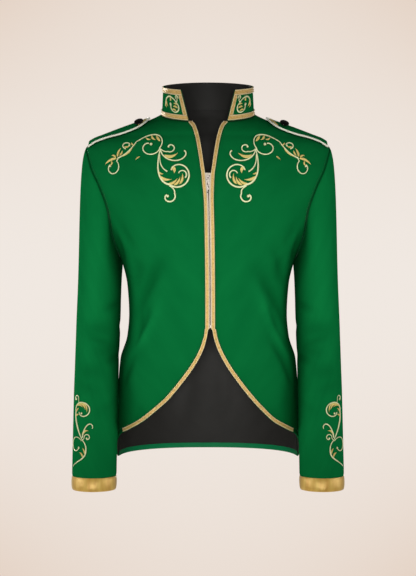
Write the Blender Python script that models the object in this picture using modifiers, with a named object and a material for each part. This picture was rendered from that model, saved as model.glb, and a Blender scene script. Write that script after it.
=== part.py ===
"""Renaissance jacket, hollow, in the form that it has when worn, with a zip pull that swings.

Frame: +X is the wearer's left, -Y the front, +Z up. The origin is the middle of the neck base.
Tables and sizes are in millimetres and degrees, and MM turns them into metres at the mesh.
A place on the body is an angle round it, from the centre front towards +X, and a ring height.
"""
import bisect
import math

import bmesh
import bpy
from mathutils import Matrix, Vector

MM = 0.001
UP = Vector((0.0, 0.0, 1.0))
FORWARD = Vector((0.0, -1.0, 0.0))

CLOTH = 2.0
LINING = 1.0
BAND = 1.1
SEAM = 0.3
LAYER = 0.6

# Body rings. Half widths and depths are measured from the ring's own middle at y = centre.
BODY_COLUMNS = ("height", "half_width", "centre", "front", "back", "power", "slope")
BODY_RINGS = (
    (-642, 171, 8, 119, 110, 2.40, 0.00),
    (-580, 169, 8, 117, 107, 2.40, 0.00),
    (-520, 167, 8, 114, 103, 2.40, 0.00),
    (-454, 162, 8, 110, 97, 2.35, 0.00),
    (-412, 149.5, 8, 107, 91, 2.30, 0.00),
    (-372, 146, 8, 106, 88, 2.30, 0.00),
    (-320, 149, 8, 110, 91, 2.30, 0.00),
    (-267, 162, 7, 117, 98, 2.30, 0.00),
    (-220, 188, 6, 120, 103, 2.30, 0.00),
    (-180, 203, 6, 119, 104, 2.30, 0.01),
    (-140, 218, 6, 115, 102, 2.25, 0.02),
    (-100, 227.5, 6, 108, 98, 2.15, 0.04),
    (-72, 227.5, 6, 99, 94, 2.05, 0.06),
    (-58.5, 221.5, 6, 95, 91, 2.00, 0.08),
    (-50.5, 211, 6, 92, 89, 1.95, 0.09),
    (-42.5, 191, 6, 88, 86, 1.90, 0.10),
    (-32.5, 165, 5, 83.5, 82, 1.90, 0.11),
    (-22.5, 137, 5, 78, 77, 1.90, 0.14),
    (-12.5, 106, 4, 72, 71.5, 1.95, 0.20),
    (-4, 85.3, 3, 67, 67, 2.00, 0.32),
)
NECK_HEIGHT = -4.0
SHOULDER_TIP_HEIGHT = -59.0
UNDERARM_HEIGHT = -267.0
HEM_HEIGHT = -642.0
HEM_RISE_SIDE = 4.0
HEM_RISE_BACK = 10.0
ZIP_TOP = -120.0
ZIP_BOTTOM = -397.0
SIDE_SEAM_ANGLE = 98.0
ARMHOLE_REACH = 29.5
ARMHOLE_LOW_SHIFT = 1.15
ARMHOLE_ROUND = 0.5
SHOULDER_LOWEST = -110.0
RIDGE_LEVEL = -30.0
HALVINGS = 40

# Half of the opening between the front edges, down the V and then along the zip.
EDGE_COLUMNS = ("height", "half_gap")
EDGE_ROWS = (
    (-660, 2.2),
    (-300, 2.2),
    (-170, 2.8),
    (-150, 3.6),
    (-135, 4.5),
    (-121, 5.3),
    (-105, 7.4),
    (-78, 11.3),
    (-50, 16.5),
    (-31, 22.8),
    (-24, 28.5),
)
# The zip line leans to the wearer's left as it goes down, and the cutaway takes the lean up again.
LEAN_COLUMNS = ("height", "shift")
LEAN_ROWS = (
    (-565, 0.0),
    (-542, 1.8),
    (-520, 3.6),
    (-440, 4.6),
    (-397, 3.9),
    (-345, 4.0),
    (-256, 3.2),
    (-190, 1.8),
    (-120, 0.0),
    (0, 0.0),
)
# The curved front hem: angle round the body against height, from the zip to the side seam.
CUTAWAY_COLUMNS = ("angle", "height")
CUTAWAY_ROWS = (
    (0.8, -397),
    (1.5, -413),
    (3.9, -440),
    (8.0, -466.5),
    (14.3, -495),
    (18.4, -510.5),
    (23.4, -526.5),
    (30.5, -543.5),
    (38.5, -558.5),
    (47.0, -570),
    (56.0, -579.5),
    (70.6, -590),
    (98.0, -638),
)
CUTAWAY_LEAN_END = 60.0
CUTAWAY_TRIM_END = 62.0

# The largest folds: soft troughs between two places on the body.
FOLD_COLUMNS = ("top_angle", "top_height", "low_angle", "low_height", "half_width", "depth")
BODY_FOLDS = (
    (-44, -262, -62, -330, 17, 3.0),
    (-38, -345, -62, -425, 18, 3.4),
    (47, -266, 64, -326, 17, 3.0),
    (40, -350, 61, -420, 18, 3.2),
    (-118, -285, -150, -372, 20, 3.2),
    (120, -290, 148, -368, 20, 3.0),
    (-135, -395, -165, -350, 17, 2.6),
    (138, -400, 168, -352, 17, 2.4),
)
MM_PER_DEGREE = 2.4

SLEEVE_COLUMNS = ("height", "centre_x", "centre_y", "half_width", "half_depth")
SLEEVE_RINGS = (
    (-687, 204.6, -71, 39.4, 41),
    (-661, 204.6, -67, 40.0, 42),
    (-635, 204.5, -63, 40.0, 43.5),
    (-580, 203.8, -54, 40.3, 47),
    (-520, 203.5, -42, 40.3, 50),
    (-454, 203.8, -16, 40.1, 55),
    (-400, 203.0, 0, 40.6, 58),
    (-330, 201.0, 5, 40.2, 62),
)
BICEP_HEIGHT = -330.0
CUFF_TOP = -661.0
CUFF_BOTTOM = -684.7
CUFF_STEP = 0.5
SLEEVE_HEAD_OUT = 42.0
SLEEVE_HEAD_DROP = 22.0
SLEEVE_UNDER_DROP = 16.0
SLEEVE_HEAD_FOCUS = 1.3
SLEEVE_HEAD_PULL = 1.15
SLEEVE_HEAD_SPREAD = 1.25
UNDERARM_STEP = 0.9
ELBOW_COLUMNS = ("angle", "height", "half_angle", "half_width", "depth")
ELBOW_FOLDS = (
    (95, -398, 70, 15, 3.4),
    (120, -436, 60, 14, 3.0),
    (80, -470, 60, 15, 2.6),
    (250, -305, 60, 20, 2.6),
    (60, -290, 50, 18, 2.2),
)

COLLAR_HEIGHT = 52.0
COLLAR_WALL = 2.2
COLLAR_PADDING = 1.8
COLLAR_LINING_DROP = 3.6
COLLAR_BASE = {"half_width": 85.3, "centre": 3.0, "depth": 67.0, "level": -3.7, "slope": 0.32}
COLLAR_TOP = {"half_width": 83.0, "centre": 4.0, "depth": 63.0, "level": 48.5, "slope": 0.265}
COLLAR_END_BASE = 35.0
COLLAR_END_TOP = 49.5
COLLAR_BAND = 9.6
COLLAR_END_BAND = 7.0
COLLAR_TRIM_LIFT = 1.0

TRIM_WIDTH = 6.6
TRIM_START = 0.9
TRIM_GAP = 0.9
FACING_HEIGHT = 9.5
FACING_HEM_STEP = 0.5

# The epaulette from its outer end to its point: how far it goes ahead of and behind the ridge.
STRAP_COLUMNS = ("x", "ahead", "behind")
STRAP_ROWS = (
    (217.0, 23.0, 9.0),
    (211.0, 28.5, 12.0),
    (204.0, 32.0, 14.0),
    (195.0, 35.5, 15.5),
    (184.0, 38.5, 16.0),
    (172.0, 41.0, 16.0),
    (159.0, 43.0, 16.0),
    (146.0, 45.0, 16.0),
    (135.0, 46.0, 15.5),
    (126.5, 44.5, 13.5),
    (119.5, 39.0, 10.0),
    (114.0, 29.0, 6.0),
    (110.5, 15.0, 2.0),
    (108.8, 5.0, -1.0),
)
STRAP_GAP = 1.2
STRAP_THICK = 2.4
PIPING_RADIUS = 1.7
PIPING_LIFT = 0.7
BUTTON_X = 131.0
BUTTON_FORWARD = 37.5
BUTTON_LIFT = 2.4
BUTTON_STEPS = 20
# The button's section from the top of its dome to the foot of its shank: radius against height.
BUTTON_PROFILE = (
    (0.0, 4.6),
    (2.8, 4.4),
    (4.8, 4.0),
    (5.6, 3.4),
    (6.4, 3.1),
    (7.6, 3.9),
    (8.5, 3.4),
    (8.8, 2.4),
    (8.0, 1.2),
    (5.0, 0.0),
    (2.0, 0.0),
    (2.0, -1.65),
    (0.0, -1.65),
)
BUTTON_TILT = 17.0

TAPE_WIDTH = 10.0
TAPE_GAP = 0.6
TAPE_END = 1.5
TAPE_THICK = 0.8
SLIDER_HEIGHT = -129.0
SLIDER_SIZE = (7.2, 3.8, 10.0)
SLIDER_FACE = 1.7
SLIDER_TAPER = 0.72
SLIDER_ROUND = 0.6
BRIDGE_HALF_SPAN = 3.4
BRIDGE_REACH = 2.4
BRIDGE_RADIUS = 0.6
PIVOT_REACH = 1.05
PULL_LENGTH = 32.0
PULL_WIDTH = 4.6
PULL_TIP_WIDTH = 3.6
PULL_THICK = 1.0
PULL_EYE = (2.4, 4.1)
PULL_BAR = 0.5
PULL_SHOULDER = (6.0, 9.0)
PULL_HOLE = 1.0
PULL_STEPS = 10
STOP_SIZE = (3.6, 2.6, 5.0)
STOP_ROUND = 0.4

SHOULDER_ROWS = 4
ARMHOLE_ROWS = 9
SIDE_ROWS = 9
PANEL_ROWS = SHOULDER_ROWS + ARMHOLE_ROWS + SIDE_ROWS
FRONT_COLUMNS = 12
BACK_COLUMNS = 20
HEAD_ROWS = 7
ARM_ROWS = 9
COLLAR_STEPS = 32
TRIM_HEM_STEPS = 20
STRAP_STEPS = 5

COLOURS = {
    "green_cloth": ((0.004, 0.150, 0.045), 0.65, 0.0),
    "green_facing": ((0.003, 0.165, 0.060), 0.60, 0.0),
    "black_lining": ((0.020, 0.019, 0.018), 0.45, 0.0),
    "gold_braid": ((0.560, 0.370, 0.130), 0.50, 0.1),
    "gold_satin": ((0.480, 0.260, 0.065), 0.35, 0.1),
    "cream_cord": ((0.900, 0.820, 0.620), 0.60, 0.0),
    "black_button": ((0.010, 0.010, 0.011), 0.15, 0.0),
    "zip_tape": ((0.620, 0.460, 0.230), 0.70, 0.0),
    "zip_metal": ((0.800, 0.780, 0.740), 0.25, 1.0),
}


def smooth_track(keys, values):
    """Smooth curve through points whose keys rise, with no overshoot between them."""
    steps = [b - a for a, b in zip(keys, keys[1:])]
    rises = [(b - a) / step for a, b, step in zip(values, values[1:], steps)]
    slopes = [rises[0]]
    for before, after in zip(rises, rises[1:]):
        slopes.append(2 * before * after / (before + after) if before * after > 0 else 0.0)
    slopes.append(rises[-1])

    def value_at(key):
        key = min(max(key, keys[0]), keys[-1])
        i = min(bisect.bisect_right(keys, key) - 1, len(steps) - 1)
        t = (key - keys[i]) / steps[i]
        rest = 1 - t
        return (
            values[i] * rest * rest * (1 + 2 * t)
            + slopes[i] * steps[i] * t * rest * rest
            + values[i + 1] * t * t * (3 - 2 * t)
            - slopes[i + 1] * steps[i] * t * t * rest
        )

    return value_at


def table_tracks(columns, rows):
    """One smooth track for each column after the first, which is the key."""
    keys = [row[0] for row in rows]
    return {name: smooth_track(keys, [row[i] for row in rows])
            for i, name in enumerate(columns) if i > 0}


BODY = table_tracks(BODY_COLUMNS, BODY_RINGS)
SLEEVE = table_tracks(SLEEVE_COLUMNS, SLEEVE_RINGS)
EDGE_GAP = table_tracks(EDGE_COLUMNS, EDGE_ROWS)["half_gap"]
LEAN = table_tracks(LEAN_COLUMNS, LEAN_ROWS)["shift"]
CUTAWAY = table_tracks(CUTAWAY_COLUMNS, CUTAWAY_ROWS)["height"]


def fold_depth(angle, height):
    """Depth of the soft folds at a place on the body."""
    depth = 0.0
    for row in BODY_FOLDS:
        fold = dict(zip(FOLD_COLUMNS, row))
        start = Vector((fold["top_angle"] * MM_PER_DEGREE, fold["top_height"]))
        run = Vector((fold["low_angle"] * MM_PER_DEGREE, fold["low_height"])) - start
        offset = Vector((angle * MM_PER_DEGREE, height)) - start
        along = offset.dot(run) / run.length_squared
        if not 0 < along < 1:
            continue
        across = (offset - run * along).length / fold["half_width"]
        depth += fold["depth"] * math.sin(math.pi * along) ** 1.5 * math.exp(-across * across)
    return depth


def body_skin(angle, height):
    """Point of the body's outer face."""
    half_width = BODY["half_width"](height)
    centre = BODY["centre"](height)
    power = 2 / BODY["power"](height)
    turn = math.radians(angle)
    sine, cosine = math.sin(turn), math.cos(turn)
    depth = BODY["front"](height) if cosine > 0 else BODY["back"](height)
    across = math.copysign(abs(sine) ** power, sine)
    ahead = math.copysign(abs(cosine) ** power, cosine)
    signed = (angle + 180) % 360 - 180
    inset = fold_depth(signed, height)
    x = half_width * across - inset * sine
    y = centre - depth * ahead + inset * cosine
    return Vector((x, y, height + BODY["slope"](height) * y))


def body_slopes(angle, height):
    """How the body's face moves for a degree round it and for a millimetre up it."""
    turn_step, rise_step = 0.5, 1.0
    low = max(height - rise_step, HEM_HEIGHT)
    high = min(height + rise_step, NECK_HEIGHT)
    round_it = body_skin(angle + turn_step, height) - body_skin(angle - turn_step, height)
    up_it = body_skin(angle, high) - body_skin(angle, low)
    return round_it / (2 * turn_step), up_it / (high - low)


def body_point(place, out=0.0):
    """Point at a place on the body, moved out square to its face."""
    point = body_skin(place[0], place[1])
    if out:
        round_it, up_it = body_slopes(place[0], place[1])
        point += round_it.cross(up_it).normalized() * out
    return point


def angle_at(x, height):
    """Angle on the body's front at which a ring reaches x."""
    share = min(abs(x) / BODY["half_width"](height), 1.0)
    turn = math.asin(share ** (BODY["power"](height) / 2))
    return math.copysign(math.degrees(turn), x)


def beside(place, tangent, distance):
    """Place at a distance to the left of a path that runs along tangent over the body."""
    round_it, up_it = body_slopes(place[0], place[1])
    normal = round_it.cross(up_it).normalized()
    ahead = round_it * tangent[0] + up_it * tangent[1]
    side = normal.cross(ahead).normalized() * distance
    ee, ff, gg = round_it.dot(round_it), round_it.dot(up_it), up_it.dot(up_it)
    uu, vv = side.dot(round_it), side.dot(up_it)
    scale = ee * gg - ff * ff
    return Vector((place[0] + (uu * gg - vv * ff) / scale, place[1] + (vv * ee - uu * ff) / scale))


def even_places(path, steps, samples=160):
    """Places at equal distances along a path, which gives a place for a share from 0 to 1."""
    shares = [i / samples for i in range(samples + 1)]
    points = [body_point(path(share)) for share in shares]
    lengths = [0.0]
    for before, after in zip(points, points[1:]):
        lengths.append(lengths[-1] + (after - before).length)
    places = []
    for i in range(steps + 1):
        wanted = lengths[-1] * i / steps
        k = min(max(bisect.bisect_left(lengths, wanted), 1), samples)
        part = (wanted - lengths[k - 1]) / (lengths[k] - lengths[k - 1])
        places.append(path(shares[k - 1] + part / samples))
    return places


def front_edge(side):
    """Path of a front panel's free edge, from the neck to the bottom of the zip."""
    def path(share):
        height = NECK_HEIGHT + (ZIP_BOTTOM - NECK_HEIGHT) * share
        level = body_skin(0, height).z
        x = side * EDGE_GAP(level) + LEAN(level)
        return Vector((angle_at(x, height), height))
    return path


def cutaway_edge(side):
    """Path of a front panel's hem, from the bottom of the zip to the side seam."""
    first, last = CUTAWAY_ROWS[0][0], CUTAWAY_ROWS[-1][0]

    def path(share):
        if share <= 0:
            return front_edge(side)(1.0)
        angle = first + (last - first) * share
        height = CUTAWAY(angle)
        if angle > CUTAWAY_LEAN_END:
            return Vector((side * angle, height))
        x = side * body_skin(angle, height).x + LEAN(height)
        return Vector((angle_at(x, height), height))
    return path


def shoulder_seam(side):
    drop = SHOULDER_TIP_HEIGHT - NECK_HEIGHT
    return lambda share: Vector((side * 90, NECK_HEIGHT + drop * share))


def side_seam(side):
    drop = HEM_HEIGHT + HEM_RISE_SIDE - UNDERARM_HEIGHT
    return lambda share: Vector((side * SIDE_SEAM_ANGLE, UNDERARM_HEIGHT + drop * share))


def back_hem(angle):
    """Height of the back's hem, which rises from the side seams to the middle of the back."""
    share = abs(angle - 180) / (180 - SIDE_SEAM_ANGLE)
    return HEM_HEIGHT + HEM_RISE_BACK + (HEM_RISE_SIDE - HEM_RISE_BACK) * share ** 2


def armhole(side, facing):
    """Path of an armhole from the shoulder tip to the underarm: facing is -1 in front, 1 behind."""
    def path(share):
        middle = 90 + (SIDE_SEAM_ANGLE - 90) * share ** 3
        scoop = max(math.sin(math.pi * share ** ARMHOLE_LOW_SHIFT), 0.0) ** ARMHOLE_ROUND
        height = SHOULDER_TIP_HEIGHT + (UNDERARM_HEIGHT - SHOULDER_TIP_HEIGHT) * share
        return Vector((side * (middle + facing * ARMHOLE_REACH * scoop), height))
    return path


def outer_border(side, facing):
    """Places down a panel's outer border: shoulder seam, armhole, side seam."""
    places = even_places(shoulder_seam(side), SHOULDER_ROWS)
    places += even_places(armhole(side, facing), ARMHOLE_ROWS)[1:]
    return places + even_places(side_seam(side), SIDE_ROWS)[1:]


def fill_patch(top, bottom, left, right):
    """Grid of places inside four borders that share their corners."""
    rows = []
    for i, (start, end) in enumerate(zip(left, right)):
        t = i / (len(left) - 1)
        row = []
        for j, (high, low) in enumerate(zip(top, bottom)):
            s = j / (len(top) - 1)
            corners = top[0].lerp(top[-1], s).lerp(bottom[0].lerp(bottom[-1], s), t)
            row.append(start.lerp(end, s) + high.lerp(low, t) - corners)
        rows.append(row)
    return rows


def front_places(side):
    """Grid of places on a front panel, from its free edge to its outer border."""
    left = even_places(front_edge(side), PANEL_ROWS)
    bottom = even_places(cutaway_edge(side), FRONT_COLUMNS)
    neck_end = Vector((side * 90, NECK_HEIGHT))
    top = even_places(lambda share: left[0].lerp(neck_end, share), FRONT_COLUMNS)
    return fill_patch(top, bottom, left, outer_border(side, -1))


def back_places():
    """Grid of places on the back panel, from the wearer's left side round to the right."""
    left = outer_border(1, 1)
    right = [Vector((360 - place[0], place[1])) for place in left]
    top = even_places(lambda share: left[0].lerp(right[0], share), BACK_COLUMNS)
    bottom = even_places(lambda share: left[-1].lerp(right[-1], share), BACK_COLUMNS)
    bottom = [Vector((place[0], back_hem(place[0]))) for place in bottom]
    return fill_patch(top, bottom, left, right)


def body_grid(places, out):
    return [[body_point(place, out) for place in row] for row in places]


def pull_in(grid, distance, borders):
    """Move the points of the named borders into the grid, to open a seam's gap."""
    if "left" in borders or "right" in borders:
        for row in grid:
            for name, edge, inner in (("left", 0, 1), ("right", -1, -2)):
                if name in borders:
                    row[edge] = row[edge] + (row[inner] - row[edge]).normalized() * distance
    for name, edge, inner in (("top", 0, 1), ("bottom", -1, -2)):
        if name in borders:
            for j, point in enumerate(grid[edge]):
                grid[edge][j] = point + (grid[inner][j] - point).normalized() * distance
    return grid


def material(name):
    """Principled material with the colour, roughness and metallic value of one finish."""
    if name in bpy.data.materials:
        return bpy.data.materials[name]
    colour, roughness, metallic = COLOURS[name]
    made = bpy.data.materials.new(name)
    made.use_nodes = True
    shader = made.node_tree.nodes["Principled BSDF"]
    shader.inputs["Base Color"].default_value = (*colour, 1.0)
    shader.inputs["Roughness"].default_value = roughness
    shader.inputs["Metallic"].default_value = metallic
    return made


def add_object(name, data, finish, collection="renaissance_jacket"):
    """Link new object data into a collection, with one material."""
    if collection not in bpy.data.collections:
        bpy.context.scene.collection.children.link(bpy.data.collections.new(collection))
    made = bpy.data.objects.new(name, data)
    bpy.data.collections[collection].objects.link(made)
    made.data.materials.append(material(finish))
    return made


def shell(name, outer, inner, finish, ring=False):
    """Closed wall between two grids of points. A ring joins the end of each row to its start."""
    mesh = bmesh.new()
    grids = [[[mesh.verts.new(point * MM) for point in row] for row in grid] for grid in (outer, inner)]
    rows, columns = len(outer), len(outer[0])
    steps = [(j, (j + 1) % columns) for j in range(columns if ring else columns - 1)]
    quads = []
    for i in range(rows - 1):
        for j, k in steps:
            quads += [(grid[i][j], grid[i][k], grid[i + 1][k], grid[i + 1][j]) for grid in grids]
    for i in (0, rows - 1):
        quads += [(grids[0][i][j], grids[0][i][k], grids[1][i][k], grids[1][i][j]) for j, k in steps]
    if not ring:
        for j in (0, columns - 1):
            quads += [(grids[0][i][j], grids[0][i + 1][j], grids[1][i + 1][j], grids[1][i][j])
                      for i in range(rows - 1)]
    for a, b, c, d in quads:
        mesh.faces.new((a, b, c))
        mesh.faces.new((a, c, d))
    bmesh.ops.recalc_face_normals(mesh, faces=mesh.faces)
    data = bpy.data.meshes.new(name)
    mesh.to_mesh(data)
    mesh.free()
    data.shade_smooth()
    data.set_sharp_from_angle(angle=math.radians(40))
    return add_object(name, data, finish)


def make_fronts():
    for side, name in ((1, "left"), (-1, "right")):
        places = front_places(side)
        layers = [pull_in(body_grid(places, out), SEAM / 2, ("right",)) for out in (0, -CLOTH)]
        shell("front_" + name, *layers, "green_cloth")


def make_back():
    places = back_places()
    layers = [pull_in(body_grid(places, out), SEAM / 2, ("left", "right")) for out in (0, -CLOTH)]
    shell("back", *layers, "green_cloth")
    inside = -(CLOTH + LAYER)
    above_facing = FACING_HEIGHT + SEAM
    lining = [list(row) for row in places]
    lining[-1] = [Vector((place[0], place[1] + above_facing)) for place in lining[-1]]
    layers = [pull_in(body_grid(lining, out), 2 * SEAM, ("left", "right", "top"))
              for out in (inside, inside - LINING)]
    shell("back_lining", *layers, "black_lining")
    facing = [[Vector((place[0], place[1] + rise)) for place in places[-1]]
              for rise in (FACING_HEIGHT, FACING_HEM_STEP)]
    layers = [pull_in(body_grid(facing, out), 2 * SEAM, ("left", "right"))
              for out in (inside, inside - LINING)]
    shell("back_hem_facing", *layers, "green_facing")


def sleeve_skin(side, angle, height):
    """Point of a sleeve's outer face: the angle runs from the outer side to the front."""
    turn = math.radians(angle)
    half_width = SLEEVE["half_width"](height)
    half_depth = SLEEVE["half_depth"](height)
    inset = 0.0
    for row in ELBOW_FOLDS:
        fold = dict(zip(ELBOW_COLUMNS, row))
        off_angle = abs((angle - fold["angle"] + 180) % 360 - 180) / fold["half_angle"]
        off_height = (height - fold["height"]) / fold["half_width"]
        if off_angle < 1:
            inset += fold["depth"] * math.cos(off_angle * math.pi / 2) ** 2 * math.exp(-off_height ** 2)
    x = SLEEVE["centre_x"](height) + (half_width - inset) * math.cos(turn)
    y = SLEEVE["centre_y"](height) - (half_depth - inset) * math.sin(turn)
    return Vector((side * x, y, height))


def armhole_ring(side, steps):
    """Points round an armhole from the shoulder tip down the front and up the back.

    They lie a seam's gap beyond the body panels' edge, and outside it where the sleeve turns down.
    """
    front = even_places(armhole(side, -1), steps)
    back = even_places(armhole(side, 1), steps)
    places = front + back[-2:0:-1]
    skin = [body_point(place) for place in places]
    middle = sum(skin, Vector()) / len(skin)
    ring = []
    for i, place in enumerate(places):
        round_it, up_it = body_slopes(place[0], place[1])
        normal = round_it.cross(up_it).normalized()
        along = skin[(i + 1) % len(skin)] - skin[i - 1]
        away = normal.cross(along).normalized()
        if away.dot(middle - skin[i]) < 0:
            away = -away
        under = 0.5 - 0.5 * math.cos(math.pi * i / steps)
        ring.append(skin[i] + away * SEAM + normal * UNDERARM_STEP * under ** 2)
    return ring


def hermite(start, start_run, end, end_run, t):
    """Point at share t of a curve with the given ends and end directions."""
    rest = 1 - t
    return (start * (rest * rest * (1 + 2 * t)) + start_run * (t * rest * rest)
            + end * (t * t * (3 - 2 * t)) - end_run * (t * t * rest))


def sleeve_grid(side, steps, head_rows, arm_rows):
    """Rings of points down a sleeve, from the armhole over the upper arm to the cuff."""
    around = 2 * steps
    angles = [180 * k / steps for k in range(around)]
    start = armhole_ring(side, steps)
    columns = []
    for k, angle in enumerate(angles):
        turn = math.radians(angle)
        top = start[k]
        end = sleeve_skin(side, angle, BICEP_HEIGHT)
        outward = Vector((side * math.cos(turn), -math.sin(turn), 0.0))
        outside = 0.5 + 0.5 * math.cos(turn)
        bulge = SLEEVE_HEAD_OUT * outside ** SLEEVE_HEAD_FOCUS
        start_run = outward * bulge - UP * (SLEEVE_HEAD_DROP + SLEEVE_UNDER_DROP * (1 - outside))
        below = sleeve_skin(side, angle, BICEP_HEIGHT - 1) - end
        end_run = below.normalized() * SLEEVE_HEAD_PULL * (top - end).length
        shares = [(i / head_rows) ** SLEEVE_HEAD_SPREAD for i in range(head_rows)]
        points = [hermite(top, start_run, end, end_run, share) for share in shares]
        for i in range(arm_rows + 1):
            height = BICEP_HEIGHT + (CUFF_TOP + SEAM - BICEP_HEIGHT) * i / arm_rows
            points.append(sleeve_skin(side, angle, height))
        columns.append(points)
    return [list(row) for row in zip(*columns)]


def ring_normals(rows):
    """Outward directions for rings of points, from their neighbours."""
    normals = []
    for i, row in enumerate(rows):
        above, below = rows[max(i - 1, 0)], rows[min(i + 1, len(rows) - 1)]
        middle = sum(row, Vector()) / len(row)
        line = []
        for k, point in enumerate(row):
            across = row[(k + 1) % len(row)] - row[k - 1]
            normal = across.cross(below[k] - above[k]).normalized()
            line.append(normal if normal.dot(point - middle) > 0 else -normal)
        normals.append(line)
    return normals


def make_sleeves():
    for side, name in ((1, "left"), (-1, "right")):
        outer = sleeve_grid(side, ARMHOLE_ROWS, HEAD_ROWS, ARM_ROWS)
        normals = ring_normals(outer)
        inner = [[point - normal * CLOTH for point, normal in zip(row, line)]
                 for row, line in zip(outer, normals)]
        shell("sleeve_" + name, outer, inner, "green_cloth", ring=True)
        cuff = []
        for out in (CUFF_STEP, CUFF_STEP - CLOTH):
            rows = []
            for height in (CUFF_TOP, (CUFF_TOP + CUFF_BOTTOM) / 2, CUFF_BOTTOM):
                ring = [sleeve_skin(side, 180 * k / ARMHOLE_ROWS, height)
                        for k in range(2 * ARMHOLE_ROWS)]
                middle = sum(ring, Vector()) / len(ring)
                rows.append([point + (point - middle).normalized() * out for point in ring])
            cuff.append(rows)
        shell("cuff_" + name, *cuff, "gold_satin", ring=True)


def collar_skin(u, v):
    """Point of the collar's outer face: u runs round from the wearer's left end, v runs up."""
    end_x = COLLAR_END_BASE + (COLLAR_END_TOP - COLLAR_END_BASE) * v
    size = {key: COLLAR_BASE[key] + (COLLAR_TOP[key] - COLLAR_BASE[key]) * v for key in COLLAR_BASE}
    end_angle = math.asin(end_x / size["half_width"])
    turn = end_angle + (2 * math.pi - 2 * end_angle) * u
    x = size["half_width"] * math.sin(turn)
    y = size["centre"] - size["depth"] * math.cos(turn)
    return Vector((x, y, size["level"] + size["slope"] * y))


def collar_point(u, v, out=0.0):
    step = 0.002
    round_it = collar_skin(u + step, v) - collar_skin(u - step, v)
    up_it = collar_skin(u, v + step) - collar_skin(u, v - step)
    return collar_skin(u, v) + round_it.cross(up_it).normalized() * out


def collar_piece(name, u_values, v_values, low_out, high_out, finish):
    layers = [[[collar_point(u, v, out) for u in u_values] for v in v_values]
              for out in (high_out, low_out)]
    shell(name, *layers, finish)


def collar_length():
    """Length round the collar at the middle of its height."""
    points = [collar_skin(i / COLLAR_STEPS, 0.5) for i in range(COLLAR_STEPS + 1)]
    return sum((b - a).length for a, b in zip(points, points[1:]))


def make_collar():
    around = [i / COLLAR_STEPS for i in range(COLLAR_STEPS + 1)]
    band = COLLAR_BAND / COLLAR_HEIGHT
    end_band = COLLAR_END_BAND / collar_length()
    trimmed = sorted(set(around + [end_band, 1 - end_band]))
    lift = COLLAR_TRIM_LIFT / COLLAR_HEIGHT
    levels = (0.0, 0.5, 1.0)
    collar_piece("collar", trimmed, levels, -COLLAR_WALL, 0.0, "green_cloth")
    inside = -(COLLAR_WALL + COLLAR_PADDING)
    tongue = -COLLAR_LINING_DROP / COLLAR_HEIGHT
    collar_piece("collar_lining", trimmed, (tongue, 0.5, 1.0), inside - LINING, inside, "black_lining")
    collar_piece("collar_trim_top", trimmed, (1 - band, 1.0), LAYER, LAYER + BAND, "gold_braid")
    collar_piece("collar_trim_base", trimmed, (lift, band), LAYER, LAYER + BAND, "gold_braid")
    gap = SEAM / COLLAR_HEIGHT
    between = (band + gap, 0.5, 1 - band - gap)
    collar_piece("collar_trim_left", (0.0, end_band), between, LAYER, LAYER + BAND, "gold_braid")
    collar_piece("collar_trim_right", (1 - end_band, 1.0), between, LAYER, LAYER + BAND, "gold_braid")


def strip_on_body(name, path_places, start_in, end_in, low_out, high_out, finish):
    """Flat strip along a path on the body, between two distances to the left of the path."""
    edges = []
    for i, place in enumerate(path_places):
        before = path_places[max(i - 1, 0)]
        after = path_places[min(i + 1, len(path_places) - 1)]
        edges.append([beside(place, after - before, distance) for distance in (start_in, end_in)])
    shell(name, body_grid(edges, high_out), body_grid(edges, low_out), finish)


def make_front_trims():
    for side, name in ((1, "left"), (-1, "right")):
        edge = even_places(front_edge(side), 2 * PANEL_ROWS)
        first, last = CUTAWAY_ROWS[0][0], CUTAWAY_ROWS[-1][0]
        end_share = (CUTAWAY_TRIM_END - first) / (last - first)
        hem_path = cutaway_edge(side)
        hem = even_places(lambda share: hem_path(share * end_share), TRIM_HEM_STEPS)
        start = body_point(edge[0])
        edge = [place for place in edge if (body_point(place) - start).length > TRIM_START]
        strip_on_body("front_trim_" + name, edge + hem[1:], 0.0, side * TRIM_WIDTH,
                      TRIM_GAP, TRIM_GAP + BAND, "gold_braid")


def place_on_shoulder(side, x, y):
    """Place at which the shoulder's upper face lies over the plan point x, y."""
    def beyond(height):
        away = y - BODY["centre"](height)
        depth = BODY["front"](height) if away < 0 else BODY["back"](height)
        power = BODY["power"](height)
        return (x / BODY["half_width"](height)) ** power + (abs(away) / depth) ** power - 1

    low, high = SHOULDER_LOWEST, NECK_HEIGHT
    for _ in range(HALVINGS):
        middle = (low + high) / 2
        if beyond(middle) > 0:
            high = middle
        else:
            low = middle
    share = min(x / BODY["half_width"](low), 1.0)
    turn = math.degrees(math.asin(share ** (BODY["power"](low) / 2)))
    angle = turn if y < BODY["centre"](low) else 180 - turn
    return Vector((side * angle, low))


def strap_point(side, x, across, out):
    return body_point(place_on_shoulder(side, x, BODY["centre"](RIDGE_LEVEL) + across), out)


def strap_outline(margin):
    """Plan points round the epaulette from its outer end, moved out by a margin."""
    rows = [dict(zip(STRAP_COLUMNS, row)) for row in STRAP_ROWS]
    outline = [Vector((row["x"], -row["ahead"])) for row in rows]
    outline += [Vector((row["x"], row["behind"])) for row in reversed(rows)]
    moved = []
    for i, point in enumerate(outline):
        along = outline[min(i + 1, len(outline) - 1)] - outline[max(i - 1, 0)]
        moved.append(point + Vector((along.y, -along.x)).normalized() * -margin)
    return moved


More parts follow.
